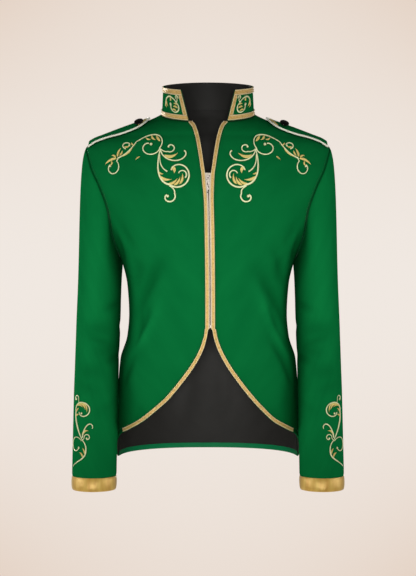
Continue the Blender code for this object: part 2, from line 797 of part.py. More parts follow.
def make_straps():
    for side, name in ((1, "left"), (-1, "right")):
        layers = []
        for out in (STRAP_GAP + STRAP_THICK, STRAP_GAP):
            rows = []
            for x, ahead, behind in STRAP_ROWS:
                shares = [i / STRAP_STEPS for i in range(STRAP_STEPS + 1)]
                rows.append([strap_point(side, x, -ahead + (ahead + behind) * share, out)
                             for share in shares])
            layers.append(rows)
        shell("epaulette_" + name, *layers, "green_cloth")
        lift = STRAP_GAP + PIPING_RADIUS + PIPING_LIFT
        route = [strap_point(side, x, across, lift) for x, across in strap_outline(PIPING_RADIUS + SEAM)]
        make_cord("epaulette_piping_" + name, route, PIPING_RADIUS, "cream_cord")


def make_cord(name, route, radius, finish):
    curve = bpy.data.curves.new(name, "CURVE")
    curve.dimensions = "3D"
    curve.bevel_depth = radius * MM
    curve.bevel_resolution = 1
    curve.render_resolution_u = 0
    curve.use_fill_caps = True
    spline = curve.splines.new("POLY")
    spline.points.add(len(route) - 1)
    for point, place in zip(spline.points, route):
        point.co = (*(place * MM), 1.0)
    add_object(name, curve, finish)


def turned(name, profile, steps, finish):
    """Turned solid about Z, from a profile of radius and height pairs."""
    mesh = bmesh.new()
    points = [mesh.verts.new((radius * MM, 0.0, height * MM)) for radius, height in profile]
    for before, after in zip(points, points[1:]):
        mesh.edges.new((before, after))
    data = bpy.data.meshes.new(name)
    mesh.to_mesh(data)
    mesh.free()
    made = add_object(name, data, finish)
    screw = made.modifiers.new("turn", "SCREW")
    screw.steps = steps
    screw.render_steps = steps
    screw.use_merge_vertices = True
    screw.merge_threshold = 0.00001
    screw.use_normal_calculate = True
    return made


def frame_on_body(place, out):
    """Matrix whose Y axis points into the body and whose Z axis runs up it."""
    round_it, up_it = body_slopes(place[0], place[1])
    normal = round_it.cross(up_it).normalized()
    up_it = (up_it - normal * up_it.dot(normal)).normalized()
    inward = -normal
    across = inward.cross(up_it)
    axes = Matrix((across, inward, up_it)).transposed().to_4x4()
    return Matrix.Translation(body_point(place, out) * MM) @ axes


def make_buttons():
    """Domed buttons that stand on the epaulettes, tipped a little to the front."""
    for side, name in ((1, "left"), (-1, "right")):
        place = place_on_shoulder(side, BUTTON_X, BODY["centre"](RIDGE_LEVEL) - BUTTON_FORWARD)
        frame = frame_on_body(place, STRAP_GAP + STRAP_THICK + BUTTON_LIFT)
        outward = -frame.col[1].to_3d()
        tipped = (outward + FORWARD * math.tan(math.radians(BUTTON_TILT))).normalized()
        stand = tipped.to_track_quat("Z", "Y").to_matrix().to_4x4()
        button = turned("button_" + name, BUTTON_PROFILE, BUTTON_STEPS, "black_button")
        button.matrix_world = Matrix.Translation(frame.translation) @ stand


def make_zip_tapes():
    behind = -(CLOTH + LAYER)
    for side, name in ((1, "left"), (-1, "right")):
        places = [place for place in even_places(front_edge(side), 2 * PANEL_ROWS)
                  if ZIP_BOTTOM + TAPE_END < body_skin(0, place[1]).z < ZIP_TOP + TAPE_END]
        rows = []
        for place in places:
            level = body_skin(0, place[1]).z
            reach = EDGE_GAP(level) - TAPE_GAP
            rows.append([beside(place, Vector((0, -1)), side * distance)
                         for distance in (-reach, TAPE_WIDTH)])
        shell("zip_tape_" + name, body_grid(rows, behind), body_grid(rows, behind - TAPE_THICK), "zip_tape")


def box(name, size, finish, collection="renaissance_jacket"):
    mesh = bmesh.new()
    bmesh.ops.create_cube(mesh, size=1.0)
    bmesh.ops.scale(mesh, vec=Vector(size) * MM, verts=mesh.verts)
    data = bpy.data.meshes.new(name)
    mesh.to_mesh(data)
    mesh.free()
    return add_object(name, data, finish, collection)


def soften(solid, width):
    """Round a solid's edges."""
    bevel = solid.modifiers.new("soften", "BEVEL")
    bevel.width = width * MM
    bevel.segments = 2


def zip_place(level):
    """Place on the zip's line nearest to a world height."""
    low, high = HEM_HEIGHT, NECK_HEIGHT
    for _ in range(HALVINGS):
        middle = (low + high) / 2
        if body_skin(0, middle).z < level:
            low = middle
        else:
            high = middle
    return Vector((angle_at(LEAN(level), low), low))


def make_slider():
    """Slider between the front edges, with an arched bridge that the pull tab hangs on."""
    width, depth, height = SLIDER_SIZE
    frame = frame_on_body(zip_place(SLIDER_HEIGHT), SLIDER_FACE)
    body = box("zip_slider", SLIDER_SIZE, "zip_metal")
    for vertex in body.data.vertices:
        vertex.co.y += depth / 2 * MM
        if vertex.co.z < 0:
            vertex.co.x *= SLIDER_TAPER
    soften(body, SLIDER_ROUND)
    body.matrix_world = frame
    bpy.ops.mesh.primitive_torus_add(major_segments=24, minor_segments=10,
                                     major_radius=BRIDGE_HALF_SPAN * MM,
                                     minor_radius=BRIDGE_RADIUS * MM)
    bridge = bpy.context.object
    bridge.name = "bridge_cutter"
    for vertex in bridge.data.vertices:
        vertex.co = Vector((vertex.co.z, vertex.co.x * BRIDGE_REACH / BRIDGE_HALF_SPAN, vertex.co.y))
    bridge.matrix_world = frame
    move_to_cutters(bridge)
    union = body.modifiers.new("bridge", "BOOLEAN")
    union.operation = "UNION"
    union.object = bridge


def move_to_cutters(tool):
    if "cutters" not in bpy.data.collections:
        bpy.context.scene.collection.children.link(bpy.data.collections.new("cutters"))
    for collection in tool.users_collection:
        collection.objects.unlink(tool)
    bpy.data.collections["cutters"].objects.link(tool)
    tool.hide_render = True
    tool.display_type = "WIRE"


def closed_spline(curve, points):
    spline = curve.splines.new("POLY")
    spline.points.add(len(points) - 1)
    for point, (x, y) in zip(spline.points, points):
        point.co = (x * MM, y * MM, 0.0, 1.0)
    spline.use_cyclic_u = True


def make_pull():
    """Flat pull tab, hung by the crossbar above its eye: its origin is on the hinge's axis."""
    curve = bpy.data.curves.new("zip_pull", "CURVE")
    curve.dimensions = "2D"
    curve.fill_mode = "BOTH"
    curve.extrude = PULL_THICK / 2 * MM
    curve.render_resolution_u = 0
    tip = -PULL_LENGTH + PULL_TIP_WIDTH / 2
    shoulder, waist = PULL_SHOULDER
    half, tip_half = PULL_WIDTH / 2, PULL_TIP_WIDTH / 2
    outline = [(-half, PULL_BAR), (-half, -shoulder), (-tip_half, -waist)]
    outline += [(-tip_half * math.cos(turn), tip - tip_half * math.sin(turn))
                for turn in [math.pi * i / PULL_STEPS for i in range(PULL_STEPS + 1)]]
    outline += [(tip_half, -waist), (half, -shoulder), (half, PULL_BAR)]
    closed_spline(curve, outline)
    eye_width, eye_height = PULL_EYE
    closed_spline(curve, [(-eye_width / 2, -PULL_BAR), (-eye_width / 2, -PULL_BAR - eye_height),
                          (eye_width / 2, -PULL_BAR - eye_height), (eye_width / 2, -PULL_BAR)])
    closed_spline(curve, [(PULL_HOLE * math.cos(turn), tip + PULL_HOLE * math.sin(turn))
                          for turn in [2 * math.pi * i / PULL_STEPS for i in range(PULL_STEPS)]])
    pull = add_object("zip_pull", curve, "zip_metal")
    frame = frame_on_body(zip_place(SLIDER_HEIGHT), SLIDER_FACE + PIVOT_REACH)
    pull.matrix_world = frame @ Matrix.Rotation(math.radians(90), 4, "X")


def make_stop():
    stop = box("zip_stop", STOP_SIZE, "zip_metal")
    soften(stop, STOP_ROUND)
    level = ZIP_BOTTOM + STOP_SIZE[2] / 2 + TAPE_END
    stop.matrix_world = frame_on_body(zip_place(level), -(CLOTH + LAYER) + SEAM + STOP_SIZE[1] / 2)


def main():
    for old in list(bpy.data.objects):
        bpy.data.objects.remove(old)
    make_fronts()
    make_back()
    make_sleeves()
    make_collar()
    make_front_trims()
    make_straps()
    make_buttons()
    make_zip_tapes()
    make_slider()
    make_stop()
    make_pull()


main()
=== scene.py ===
"""Looks of the renaissance jacket: cloth shells, braid, embroidery, zip teeth, buttons and light.

Frame: +X is the wearer's left, -Y the front, +Z up. The origin is the middle of the neck base.
Tables and sizes are in millimetres and degrees, and MM turns them into metres at the mesh.
A place on the body is an angle round it, from the centre front towards +X, and a ring height.
Points and places are numpy arrays, whose last axis holds the coordinates.
"""
import math

import bmesh
import bpy
import numpy as np
from mathutils import Matrix, Vector


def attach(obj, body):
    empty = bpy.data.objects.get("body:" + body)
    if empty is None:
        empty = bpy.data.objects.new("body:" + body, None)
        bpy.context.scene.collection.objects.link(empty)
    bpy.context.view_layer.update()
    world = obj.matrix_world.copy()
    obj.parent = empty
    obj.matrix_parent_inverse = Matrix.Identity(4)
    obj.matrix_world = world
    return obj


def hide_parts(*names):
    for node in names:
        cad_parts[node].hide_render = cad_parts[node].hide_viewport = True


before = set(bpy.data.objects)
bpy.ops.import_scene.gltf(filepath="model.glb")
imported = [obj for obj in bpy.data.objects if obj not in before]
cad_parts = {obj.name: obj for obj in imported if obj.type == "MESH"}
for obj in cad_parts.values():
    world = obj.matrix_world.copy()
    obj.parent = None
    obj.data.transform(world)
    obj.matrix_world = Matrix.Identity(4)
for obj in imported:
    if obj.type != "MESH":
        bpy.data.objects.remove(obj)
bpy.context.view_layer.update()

MM = 0.001
BODY_NAME = "jacket"
SIDES = ((1, "left"), (-1, "right"))
CLOTH = 2.0
LINING = 1.0
SEAM = 0.3
LAYER = 0.6
SHARP_ANGLE = 50.0

# Body rings. Half widths and depths are measured from the ring's own middle at y = centre.
BODY_COLUMNS = ("height", "half_width", "centre", "front", "back", "power", "slope")
BODY_RINGS = (
    (-642, 171, 8, 119, 110, 2.40, 0.00),
    (-580, 169, 8, 117, 107, 2.40, 0.00),
    (-520, 167, 8, 114, 103, 2.40, 0.00),
    (-454, 162, 8, 110, 97, 2.35, 0.00),
    (-412, 149.5, 8, 107, 91, 2.30, 0.00),
    (-372, 146, 8, 106, 88, 2.30, 0.00),
    (-320, 149, 8, 110, 91, 2.30, 0.00),
    (-267, 162, 7, 117, 98, 2.30, 0.00),
    (-220, 188, 6, 120, 103, 2.30, 0.00),
    (-180, 203, 6, 119, 104, 2.30, 0.01),
    (-140, 218, 6, 115, 102, 2.25, 0.02),
    (-100, 227.5, 6, 108, 98, 2.15, 0.04),
    (-72, 227.5, 6, 99, 94, 2.05, 0.06),
    (-58.5, 221.5, 6, 95, 91, 2.00, 0.08),
    (-50.5, 211, 6, 92, 89, 1.95, 0.09),
    (-42.5, 191, 6, 88, 86, 1.90, 0.10),
    (-32.5, 165, 5, 83.5, 82, 1.90, 0.11),
    (-22.5, 137, 5, 78, 77, 1.90, 0.14),
    (-12.5, 106, 4, 72, 71.5, 1.95, 0.20),
    (-4, 85.3, 3, 67, 67, 2.00, 0.32),
)
NECK_HEIGHT = -4.0
SHOULDER_ANGLE = 90.0
SHOULDER_TIP_HEIGHT = -59.0
UNDERARM_HEIGHT = -267.0
HEM_HEIGHT = -642.0
HEM_RISE_SIDE = 4.0
HEM_RISE_BACK = 10.0
ZIP_TOP = -120.0
ZIP_BOTTOM = -397.0
SIDE_SEAM_ANGLE = 98.0
ARMHOLE_REACH = 29.5
ARMHOLE_LOW_SHIFT = 1.15
ARMHOLE_ROUND = 0.5
SHOULDER_LOWEST = -110.0
RIDGE_LEVEL = -30.0
HALVINGS = 40

# Half of the gap between the two fronts, against the height in front.
EDGE_ROWS = (
    (-660, 2.2), (-300, 2.2), (-170, 2.8), (-150, 3.6), (-135, 4.5), (-121, 5.3),
    (-105, 7.4), (-78, 11.3), (-50, 16.5), (-31, 22.8), (-24, 28.5),
)
# How far the line of the zip lies from the middle, against the height in front.
LEAN_ROWS = (
    (-565, 0.0), (-542, 1.8), (-520, 3.6), (-440, 4.6), (-397, 3.9),
    (-345, 4.0), (-256, 3.2), (-190, 1.8), (-120, 0.0), (0, 0.0),
)
# Height of a front's hem, against the angle round the body.
CUTAWAY_ROWS = (
    (0.8, -397), (1.5, -413), (3.9, -440), (8.0, -466.5), (14.3, -495), (18.4, -510.5), (23.4, -526.5),
    (30.5, -543.5), (38.5, -558.5), (47.0, -570), (56.0, -579.5), (70.6, -590), (98.0, -638),
)
CUTAWAY_LEAN_END = 60.0
CUTAWAY_TRIM_END = 62.0

# Soft troughs between two places on the body: the solids' folds, then the finer creases.
# Each has the angle and height of its top and of its foot, its half width and its depth, which
# is below zero for a ridge.
BODY_FOLDS = (
    (-44, -262, -62, -330, 17, 3.0),
    (-38, -345, -62, -425, 18, 3.4),
    (47, -266, 64, -326, 17, 3.0),
    (40, -350, 61, -420, 18, 3.2),
    (-118, -285, -150, -372, 20, 3.2),
    (120, -290, 148, -368, 20, 3.0),
    (-135, -395, -165, -350, 17, 2.6),
    (138, -400, 168, -352, 17, 2.4),
)
BODY_CREASES = (
    (-19, -249, -66, -384, 13, 5.2),
    (-53, -189, -49, -268, 10, 3.0),
    (-45, -403, -68, -508, 12, 4.8),
    (-28, -326, -66, -492, 12, -4.8),
    (-55, -345, -55, -437, 6, 1.6),
    (-58, -205, -74, -278, 10, 3.4),
    (-34, -522, -54, -593, 14, 2.0),
    (22, -269, 77, -398, 13, 5.0),
    (28, -306, 66, -462, 12, -4.6),
    (34, -236, 72, -322, 9, 2.6),
    (43, -398, 68, -508, 12, 4.6),
    (53, -189, 50, -262, 10, 2.4),
    (58, -205, 74, -278, 10, 3.4),
    (31, -522, 50, -593, 14, 2.0),
    (-74, -440, -78, -560, 14, 1.6),
    (75, -436, 77, -565, 14, 1.6),
    (-112, -214, -150, -262, 10, 2.2),
    (113, -218, 148, -260, 10, 2.2),
    (-134, -334, -177, -364, 9, 3.6),
    (137, -372, 179, -346, 9, 3.4),
    (-146, -150, -166, -272, 12, 3.0),
    (149, -162, 165, -284, 12, 2.8),
    (-116, -330, -152, -430, 9, 2.2),
    (118, -326, 150, -424, 9, 2.2),
    (-150, -425, -139, -605, 14, 4.0),
    (153, -436, 141, -595, 14, 3.8),
    (-174, -405, -167, -600, 13, 3.2),
    (170, -418, 174, -610, 13, 3.0),
)
MM_PER_DEGREE = 2.4
FOLD_TAPER = 1.5

SLEEVE_COLUMNS = ("height", "centre_x", "centre_y", "half_width", "half_depth")
SLEEVE_RINGS = (
    (-687, 204.6, -71, 39.4, 41),
    (-661, 204.6, -67, 40.0, 42),
    (-635, 204.5, -63, 40.0, 43.5),
    (-580, 203.8, -54, 40.3, 47),
    (-520, 203.5, -42, 40.3, 50),
    (-454, 203.8, -16, 40.1, 55),
    (-400, 203.0, 0, 40.6, 58),
    (-330, 201.0, 5, 40.2, 62),
)
BICEP_HEIGHT = -330.0
CUFF_TOP = -661.0
CUFF_BOTTOM = -684.7
CUFF_STEP = 0.5
SLEEVE_HEAD_OUT = 42.0
SLEEVE_HEAD_DROP = 22.0
SLEEVE_UNDER_DROP = 16.0
SLEEVE_HEAD_FOCUS = 1.3
SLEEVE_HEAD_PULL = 1.15
SLEEVE_HEAD_SPREAD = 1.25
UNDERARM_STEP = 0.9
# Folds round a sleeve: angle, height, half angle, half width, depth, and tilt for each degree.
ELBOW_FOLDS = (
    (95, -398, 70, 15, 3.4, 0.0),
    (120, -436, 60, 14, 3.0, 0.0),
    (80, -470, 60, 15, 2.6, 0.0),
    (250, -305, 60, 20, 2.6, 0.0),
    (60, -290, 50, 18, 2.2, 0.0),
)
SLEEVE_CREASES = (
    (140, -356, 55, 8, 2.2, 0.18),
    (105, -418, 50, 7, 2.4, -0.16),
    (150, -452, 60, 8, 2.4, 0.14),
    (70, -500, 55, 10, 1.8, -0.20),
    (130, -536, 60, 9, 1.0, 0.22),
    (60, -604, 50, 9, 0.8, 0.20),
    (200, -392, 60, 8, 1.6, 0.12),
    (290, -432, 60, 9, 1.4, -0.15),
    (240, -520, 70, 11, 1.2, 0.16),
    (110, -250, 40, 10, 1.8, 0.40),
)

COLLAR_HEIGHT = 52.0
COLLAR_WALL = 2.2
COLLAR_PADDING = 1.8
COLLAR_BASE = {"half_width": 85.3, "centre": 3.0, "depth": 67.0, "level": -3.7, "slope": 0.32}
COLLAR_TOP = {"half_width": 83.0, "centre": 4.0, "depth": 63.0, "level": 48.5, "slope": 0.265}
COLLAR_END_BASE = 35.0
COLLAR_END_TOP = 49.5
COLLAR_BAND = 9.6
COLLAR_END_BAND = 7.0
COLLAR_TRIM_LIFT = 1.0

TRIM_WIDTH = 6.6
TRIM_START = 0.9
TRIM_GAP = 0.9
FACING_HEIGHT = 9.5
FACING_HEM_STEP = 0.5
FACING_ROWS = 5
LINING_HOLD = 12

# Outline of the shoulder strap: x, and how far it reaches ahead of the ridge and behind it.
STRAP_ROWS = (
    (217.0, 23.0, 9.0), (211.0, 28.5, 12.0), (204.0, 32.0, 14.0), (195.0, 35.5, 15.5), (184.0, 38.5, 16.0),
    (172.0, 41.0, 16.0), (159.0, 43.0, 16.0), (146.0, 45.0, 16.0), (135.0, 46.0, 15.5), (126.5, 44.5, 13.5),
    (119.5, 39.0, 10.0), (114.0, 29.0, 6.0), (110.5, 15.0, 2.0), (108.8, 5.0, -1.0),
)
STRAP_GAP = 1.2
STRAP_THICK = 2.4
STRAP_DOME = 0.35
PIPING_RADIUS = 1.7
PIPING_LIFT = 0.7

TAPE_WIDTH = 10.0
TAPE_GAP = 0.6
TAPE_END = 1.5
TAPE_THICK = 0.8
TOOTH_PITCH = 2.3
TOOTH_SIZE = (1.9, 1.4, 1.15)
TEETH_TOP = -133.0
TEETH_BOTTOM = -388.0

PHOTO_SIZE = (416, 576)
MM_PER_PIXEL = 1.85
CAMERA_DISTANCE = 2500.0
CAMERA_HEIGHT = -323.75
SENSOR = 36.0

GREEN = (0.0040, 0.182, 0.046)
GREEN_DEEP = (0.0026, 0.148, 0.037)
# Colour of the painted shade on the green cloth: in hollows, between parts, beside stitches and in fold
# troughs.
GREEN_PAINTED_SHADE = (0.0004, 0.060, 0.013)
GREEN_SHEEN = (0.02, 0.55, 0.20)
# How far the painted shade in hollows and the painted shadow beside raised stitches reach, in millimetres.
PAINTED_SHADE_REACH = 42.0
STITCH_SHADE_REACH = 3.0
# Lightness of the green on the body, and on the sleeves and straps: painted light, with the sleeves' copy
# lighter because they catch more light.
BODY_PAINTED_LIGHT = 1.03
SLEEVE_PAINTED_LIGHT = 1.28
TWILL_PERIOD = 0.9
THREAD_PERIOD = 0.55
LINING_PERIOD = 0.5
STITCH_PERIOD = 0.42
# A darker and a lighter colour for each finish, or the colours of its middle and its edge.
COLOURS = {
    "gold_braid": ((0.36, 0.185, 0.034), (0.80, 0.53, 0.165)),
    "braid_edge": ((0.78, 0.60, 0.27), (0.97, 0.84, 0.52)),
    # The satin's two colours are the ends of its painted sheen streaks.
    "gold_satin": ((0.72, 0.40, 0.068), (0.90, 0.62, 0.145)),
    # The threads' edge colours are painted shade, at the rims and on one side of each raised line.
    "line_thread": ((0.95, 1.0, 0.60), (0.22, 0.155, 0.015)),
    "leaf_thread": ((0.86, 0.69, 0.23), (0.62, 0.46, 0.10)),
    "cream_cord": ((1.0, 0.98, 0.76), (1.0, 1.0, 0.90)),
    "green_stitch": ((0.002, 0.05, 0.017), (0.005, 0.11, 0.034)),
    "zip_tape": ((0.74, 0.62, 0.48), (0.97, 0.89, 0.78)),
    "floor": ((0.70, 0.64, 0.58), (0.76, 0.70, 0.64)),
}
LINING_BLACK = (0.030, 0.0295, 0.028)
FACING_GREEN = (0.003, 0.25, 0.085)
BINDING_GREEN = (0.0012, 0.055, 0.016)
BUTTON_BLACK = (0.001, 0.001, 0.0012)
# Each metal's colour, the colour of its pits, their scale and how high the noise is where they start.
ZIP_METAL = ((0.92, 0.82, 0.74), (0.16, 0.10, 0.07), 330.0, 0.58)
PULL_METAL = ((0.97, 0.87, 0.80), (0.05, 0.022, 0.014), 330.0, 0.48)
TOOTH_METAL = ((0.28, 0.17, 0.085), (0.09, 0.05, 0.02), 500.0, 0.50)
# Painted shade from the fold depth: the green is lightest on ridges at FOLD_RIDGE and darkest in troughs at
# FOLD_TROUGH, where FOLD_SHADE is the share of the open colour left.
FOLD_RIDGE = -4.0
FOLD_TROUGH = 5.0
FOLD_SHADE = 0.35


def blend(first, first_run, last, last_run, t):
    """Smooth way from first to last for shares t, which leaves and arrives with the given runs."""
    rest = 1 - t
    return (first * rest * rest * (1 + 2 * t) + first_run * t * rest * rest
            + last * t * t * (3 - 2 * t) - last_run * t * t * rest)


def smooth_track(keys, values):
    """Smooth curve through points whose keys rise, with no overshoot between them."""
    keys, values = np.array(keys, float), np.array(values, float)
    steps = np.diff(keys)
    rises = np.diff(values) / steps
    before, after = rises[:-1], rises[1:]
    same_way = before * after > 0
    total = np.where(same_way, before + after, 1.0)
    inner = np.where(same_way, 2 * before * after / total, 0.0)
    slopes = np.concatenate((rises[:1], inner, rises[-1:]))

    def value_at(key):
        key = np.clip(key, keys[0], keys[-1])
        i = np.clip(np.searchsorted(keys, key, side="right") - 1, 0, len(steps) - 1)
        t = (key - keys[i]) / steps[i]
        return blend(values[i], slopes[i] * steps[i], values[i + 1], slopes[i + 1] * steps[i], t)

    return value_at


def table_tracks(columns, rows):
    """One smooth track for each column after the first, which is the key."""
    keys, *values = zip(*rows)
    return {name: smooth_track(keys, value) for name, value in zip(columns[1:], values)}


BODY = table_tracks(BODY_COLUMNS, BODY_RINGS)
SLEEVE = table_tracks(SLEEVE_COLUMNS, SLEEVE_RINGS)
EDGE_GAP = smooth_track(*zip(*EDGE_ROWS))
LEAN = smooth_track(*zip(*LEAN_ROWS))
CUTAWAY = smooth_track(*zip(*CUTAWAY_ROWS))


def unit(vectors):
    return vectors / np.maximum(np.linalg.norm(vectors, axis=-1, keepdims=True), 1e-9)


def pair(first, second):
    """Places from two arrays or numbers of angles and heights."""
    return np.stack(np.broadcast_arrays(np.asarray(first, float), np.asarray(second, float)), -1)


def signed(angle):
    """Angle from -180 to 180 degrees."""
    return (angle + 180) % 360 - 180


def run_lengths(points, axis=0):
    """Distance of each point from the first one, along lines of points."""
    steps = np.diff(points, axis=axis, prepend=points.take([0], axis))
    return np.linalg.norm(steps, axis=-1).cumsum(axis)


def smoothed(values, rounds):
    """Values evened out along their first axis, with both ends held."""
    values = values.copy()
    for _ in range(rounds):
        values[1:-1] = (values[:-2] + 2 * values[1:-1] + values[2:]) / 4
    return values


def fold_depth(angle, height):
    """Depth of the soft folds and creases at places on the body."""
    angle = signed(angle)
    total = np.zeros(np.shape(angle + height))
    for top_angle, top_height, low_angle, low_height, half_width, depth in BODY_FOLDS + BODY_CREASES:
        run_x, run_y = (low_angle - top_angle) * MM_PER_DEGREE, low_height - top_height
        off_x, off_y = (angle - top_angle) * MM_PER_DEGREE, height - top_height
        length = math.hypot(run_x, run_y)
        along = np.clip((off_x * run_x + off_y * run_y) / length ** 2, 0, 1)
        across = (off_x * run_y - off_y * run_x) / length / half_width
        total += depth * np.sin(np.pi * along) ** FOLD_TAPER * np.exp(-across * across)
    return total


def body_skin(places):
    """Points of the body's outer face."""
    angle, height = places[..., 0], places[..., 1]
    power = 2 / BODY["power"](height)
    turn = np.radians(angle)
    sine, cosine = np.sin(turn), np.cos(turn)
    depth = np.where(cosine > 0, BODY["front"](height), BODY["back"](height))
    across = np.copysign(np.abs(sine) ** power, sine)
    ahead = np.copysign(np.abs(cosine) ** power, cosine)
    inset = fold_depth(angle, height)
    x = BODY["half_width"](height) * across - inset * sine
    y = BODY["centre"](height) - depth * ahead + inset * cosine
    return np.stack((x, y, height + BODY["slope"](height) * y), -1)


def body_slopes(places):
    """How the body's face moves for a degree round it and for a millimetre up it."""
    turn_step, rise_step = 0.5, 1.0
    angle, height = places[..., 0], places[..., 1]
    low = np.maximum(height - rise_step, HEM_HEIGHT)
    high = np.minimum(height + rise_step, NECK_HEIGHT)
    round_it = body_skin(pair(angle + turn_step, height)) - body_skin(pair(angle - turn_step, height))
    up_it = body_skin(pair(angle, high)) - body_skin(pair(angle, low))
    return round_it / (2 * turn_step), up_it / (high - low)[..., None]


def body_normal(places):
    round_it, up_it = body_slopes(places)
    return unit(np.cross(round_it, up_it))


def body_point(places, out=0.0):
    """Points at places on the body, moved out square to its face."""
    out = np.broadcast_to(out, places.shape[:-1])[..., None]
    return body_skin(places) + body_normal(places) * out


def angle_at(x, height):
    """Angle on the body's front at which a ring reaches x."""
    share = np.minimum(np.abs(x) / BODY["half_width"](height), 1.0)
    turn = np.arcsin(share ** (BODY["power"](height) / 2))
    return np.copysign(np.degrees(turn), x)


def beside(places, tangents, distance):
    """Places at a distance to the left of a path that runs along tangents over the body."""
    round_it, up_it = body_slopes(places)
    normal = unit(np.cross(round_it, up_it))
    ahead = round_it * tangents[..., :1] + up_it * tangents[..., 1:]
    side = unit(np.cross(normal, ahead)) * distance
    ee = (round_it * round_it).sum(-1)
    ff = (round_it * up_it).sum(-1)
    gg = (up_it * up_it).sum(-1)
    uu = (side * round_it).sum(-1)
    vv = (side * up_it).sum(-1)
    scale = ee * gg - ff * ff
    return places + pair((uu * gg - vv * ff) / scale, (vv * ee - uu * ff) / scale)


def even_places(path, steps, samples=400):
    """Places at equal distances along a path, which gives places for shares from 0 to 1."""
    shares = np.linspace(0, 1, samples + 1)
    lengths = run_lengths(body_skin(path(shares)))
    return path(np.interp(np.linspace(0, lengths[-1], steps + 1), lengths, shares))


def front_edge(side):
    """Path of a front panel's free edge, from the neck to the bottom of the zip."""
    def path(share):
        height = NECK_HEIGHT + (ZIP_BOTTOM - NECK_HEIGHT) * share
        level = body_skin(pair(0, height))[..., 2]
        return pair(angle_at(side * EDGE_GAP(level) + LEAN(level), height), height)
    return path


def cutaway_edge(side):
    """Path of a front panel's hem, from the bottom of the zip to the side seam."""
    first, last = CUTAWAY_ROWS[0][0], CUTAWAY_ROWS[-1][0]
    start = front_edge(side)(np.array(1.0))

    def path(share):
        angle = first + (last - first) * share
        height = CUTAWAY(angle)
        x = side * body_skin(pair(angle, height))[..., 0] + LEAN(height)
        leaned = np.where(angle > CUTAWAY_LEAN_END, side * angle, angle_at(x, height))
        return np.where((share <= 0)[..., None], start, pair(leaned, height))
    return path


def straight(start, end):
    start, end = np.asarray(start, float), np.asarray(end, float)
    return lambda share: start + (end - start) * np.asarray(share, float)[..., None]


def shoulder_seam(side):
    angle = side * SHOULDER_ANGLE
    return straight((angle, NECK_HEIGHT), (angle, SHOULDER_TIP_HEIGHT))


def side_seam(side):
    angle = side * SIDE_SEAM_ANGLE
    return straight((angle, UNDERARM_HEIGHT), (angle, HEM_HEIGHT + HEM_RISE_SIDE))


def back_hem(angle):
    """Height of the back's hem, which rises from the side seams to the middle of the back."""
    share = np.abs(angle - 180) / (180 - SIDE_SEAM_ANGLE)
    return HEM_HEIGHT + HEM_RISE_BACK + (HEM_RISE_SIDE - HEM_RISE_BACK) * share ** 2


def armhole(side, facing):
    """Path of an armhole from the shoulder tip to the underarm: facing is -1 in front, 1 behind."""
    def path(share):
        middle = SHOULDER_ANGLE + (SIDE_SEAM_ANGLE - SHOULDER_ANGLE) * share ** 3
        scoop = np.maximum(np.sin(np.pi * share ** ARMHOLE_LOW_SHIFT), 0.0) ** ARMHOLE_ROUND
        height = SHOULDER_TIP_HEIGHT + (UNDERARM_HEIGHT - SHOULDER_TIP_HEIGHT) * share
        return pair(side * (middle + facing * ARMHOLE_REACH * scoop), height)
    return path


SHOULDER_STEPS = 28
ARMHOLE_STEPS = 56
SIDE_STEPS = 70
PANEL_STEPS = SHOULDER_STEPS + ARMHOLE_STEPS + SIDE_STEPS
FRONT_STEPS = 72
BACK_STEPS = 110


def outer_border(side, facing):
    """Places down a panel's outer border: shoulder seam, armhole, side seam."""
    return np.concatenate((
        even_places(shoulder_seam(side), SHOULDER_STEPS),
        even_places(armhole(side, facing), ARMHOLE_STEPS)[1:],
        even_places(side_seam(side), SIDE_STEPS)[1:],
    ))


def fill_patch(top, bottom, left, right):
    """Grid of places inside four borders that share their corners."""
    t = np.linspace(0, 1, len(left))[:, None, None]
    s = np.linspace(0, 1, len(top))[None, :, None]
    level = left[:, None] * (1 - s) + right[:, None] * s
    upright = top[None] * (1 - t) + bottom[None] * t
    high = top[0] * (1 - s) + top[-1] * s
    low = bottom[0] * (1 - s) + bottom[-1] * s
    return level + upright - (high * (1 - t) + low * t)


def front_places(side):
    """Grid of places on a front panel, from its free edge to its outer border."""
    left = even_places(front_edge(side), PANEL_STEPS)
    bottom = even_places(cutaway_edge(side), FRONT_STEPS)
    top = even_places(straight(left[0], (side * SHOULDER_ANGLE, NECK_HEIGHT)), FRONT_STEPS)
    return fill_patch(top, bottom, left, outer_border(side, -1))


def back_places():
    """Grid of places on the back panel, from the wearer's left side round to the right."""
    left = outer_border(1, 1)
    right = left * (-1, 1) + (360, 0)
    top = even_places(straight(left[0], right[0]), BACK_STEPS)
    bottom = even_places(straight(left[-1], right[-1]), BACK_STEPS)
    bottom = pair(bottom[:, 0], back_hem(bottom[:, 0]))
    return fill_patch(top, bottom, left, right)


def border_distances(grid):
    """Distance of each point of a grid from each of its four borders, along the grid's lines."""
    down, over = run_lengths(grid), run_lengths(grid, 1)
    return {"left": over, "right": over[:, -1:] - over, "top": down, "bottom": down[-1:] - down}


def border_lines(grid):
    """Views of a grid's lines, counted inwards from each of its borders."""
    over = grid.swapaxes(0, 1)
    return {"top": grid, "bottom": grid[::-1], "left": over, "right": over[::-1]}


def crowd(places, share=0.35):
    """Moves the second line of places at each border close to it, so that a seam can roll under."""
    places = places.copy()
    for lines in border_lines(places).values():
        lines[1] += (lines[0] - lines[1]) * share
    return places


def pull_in(grid, distance, borders):
    """Moves the points of the named borders into the grid, to open a seam's gap."""
    grid = grid.copy()
    for name in borders:
        lines = border_lines(grid)[name]
        lines[0] += unit(lines[1] - lines[0]) * distance
    return grid


SEAM_DIP = 0.9
SEAM_REACH = 2.4


def seam_dip(grid, borders):
    """How far cloth turns down towards the seams on the named borders of a grid."""
    distances = border_distances(grid)
    return np.max([SEAM_DIP * np.exp(-(distances[name] / SEAM_REACH) ** 2) for name in borders], axis=0)


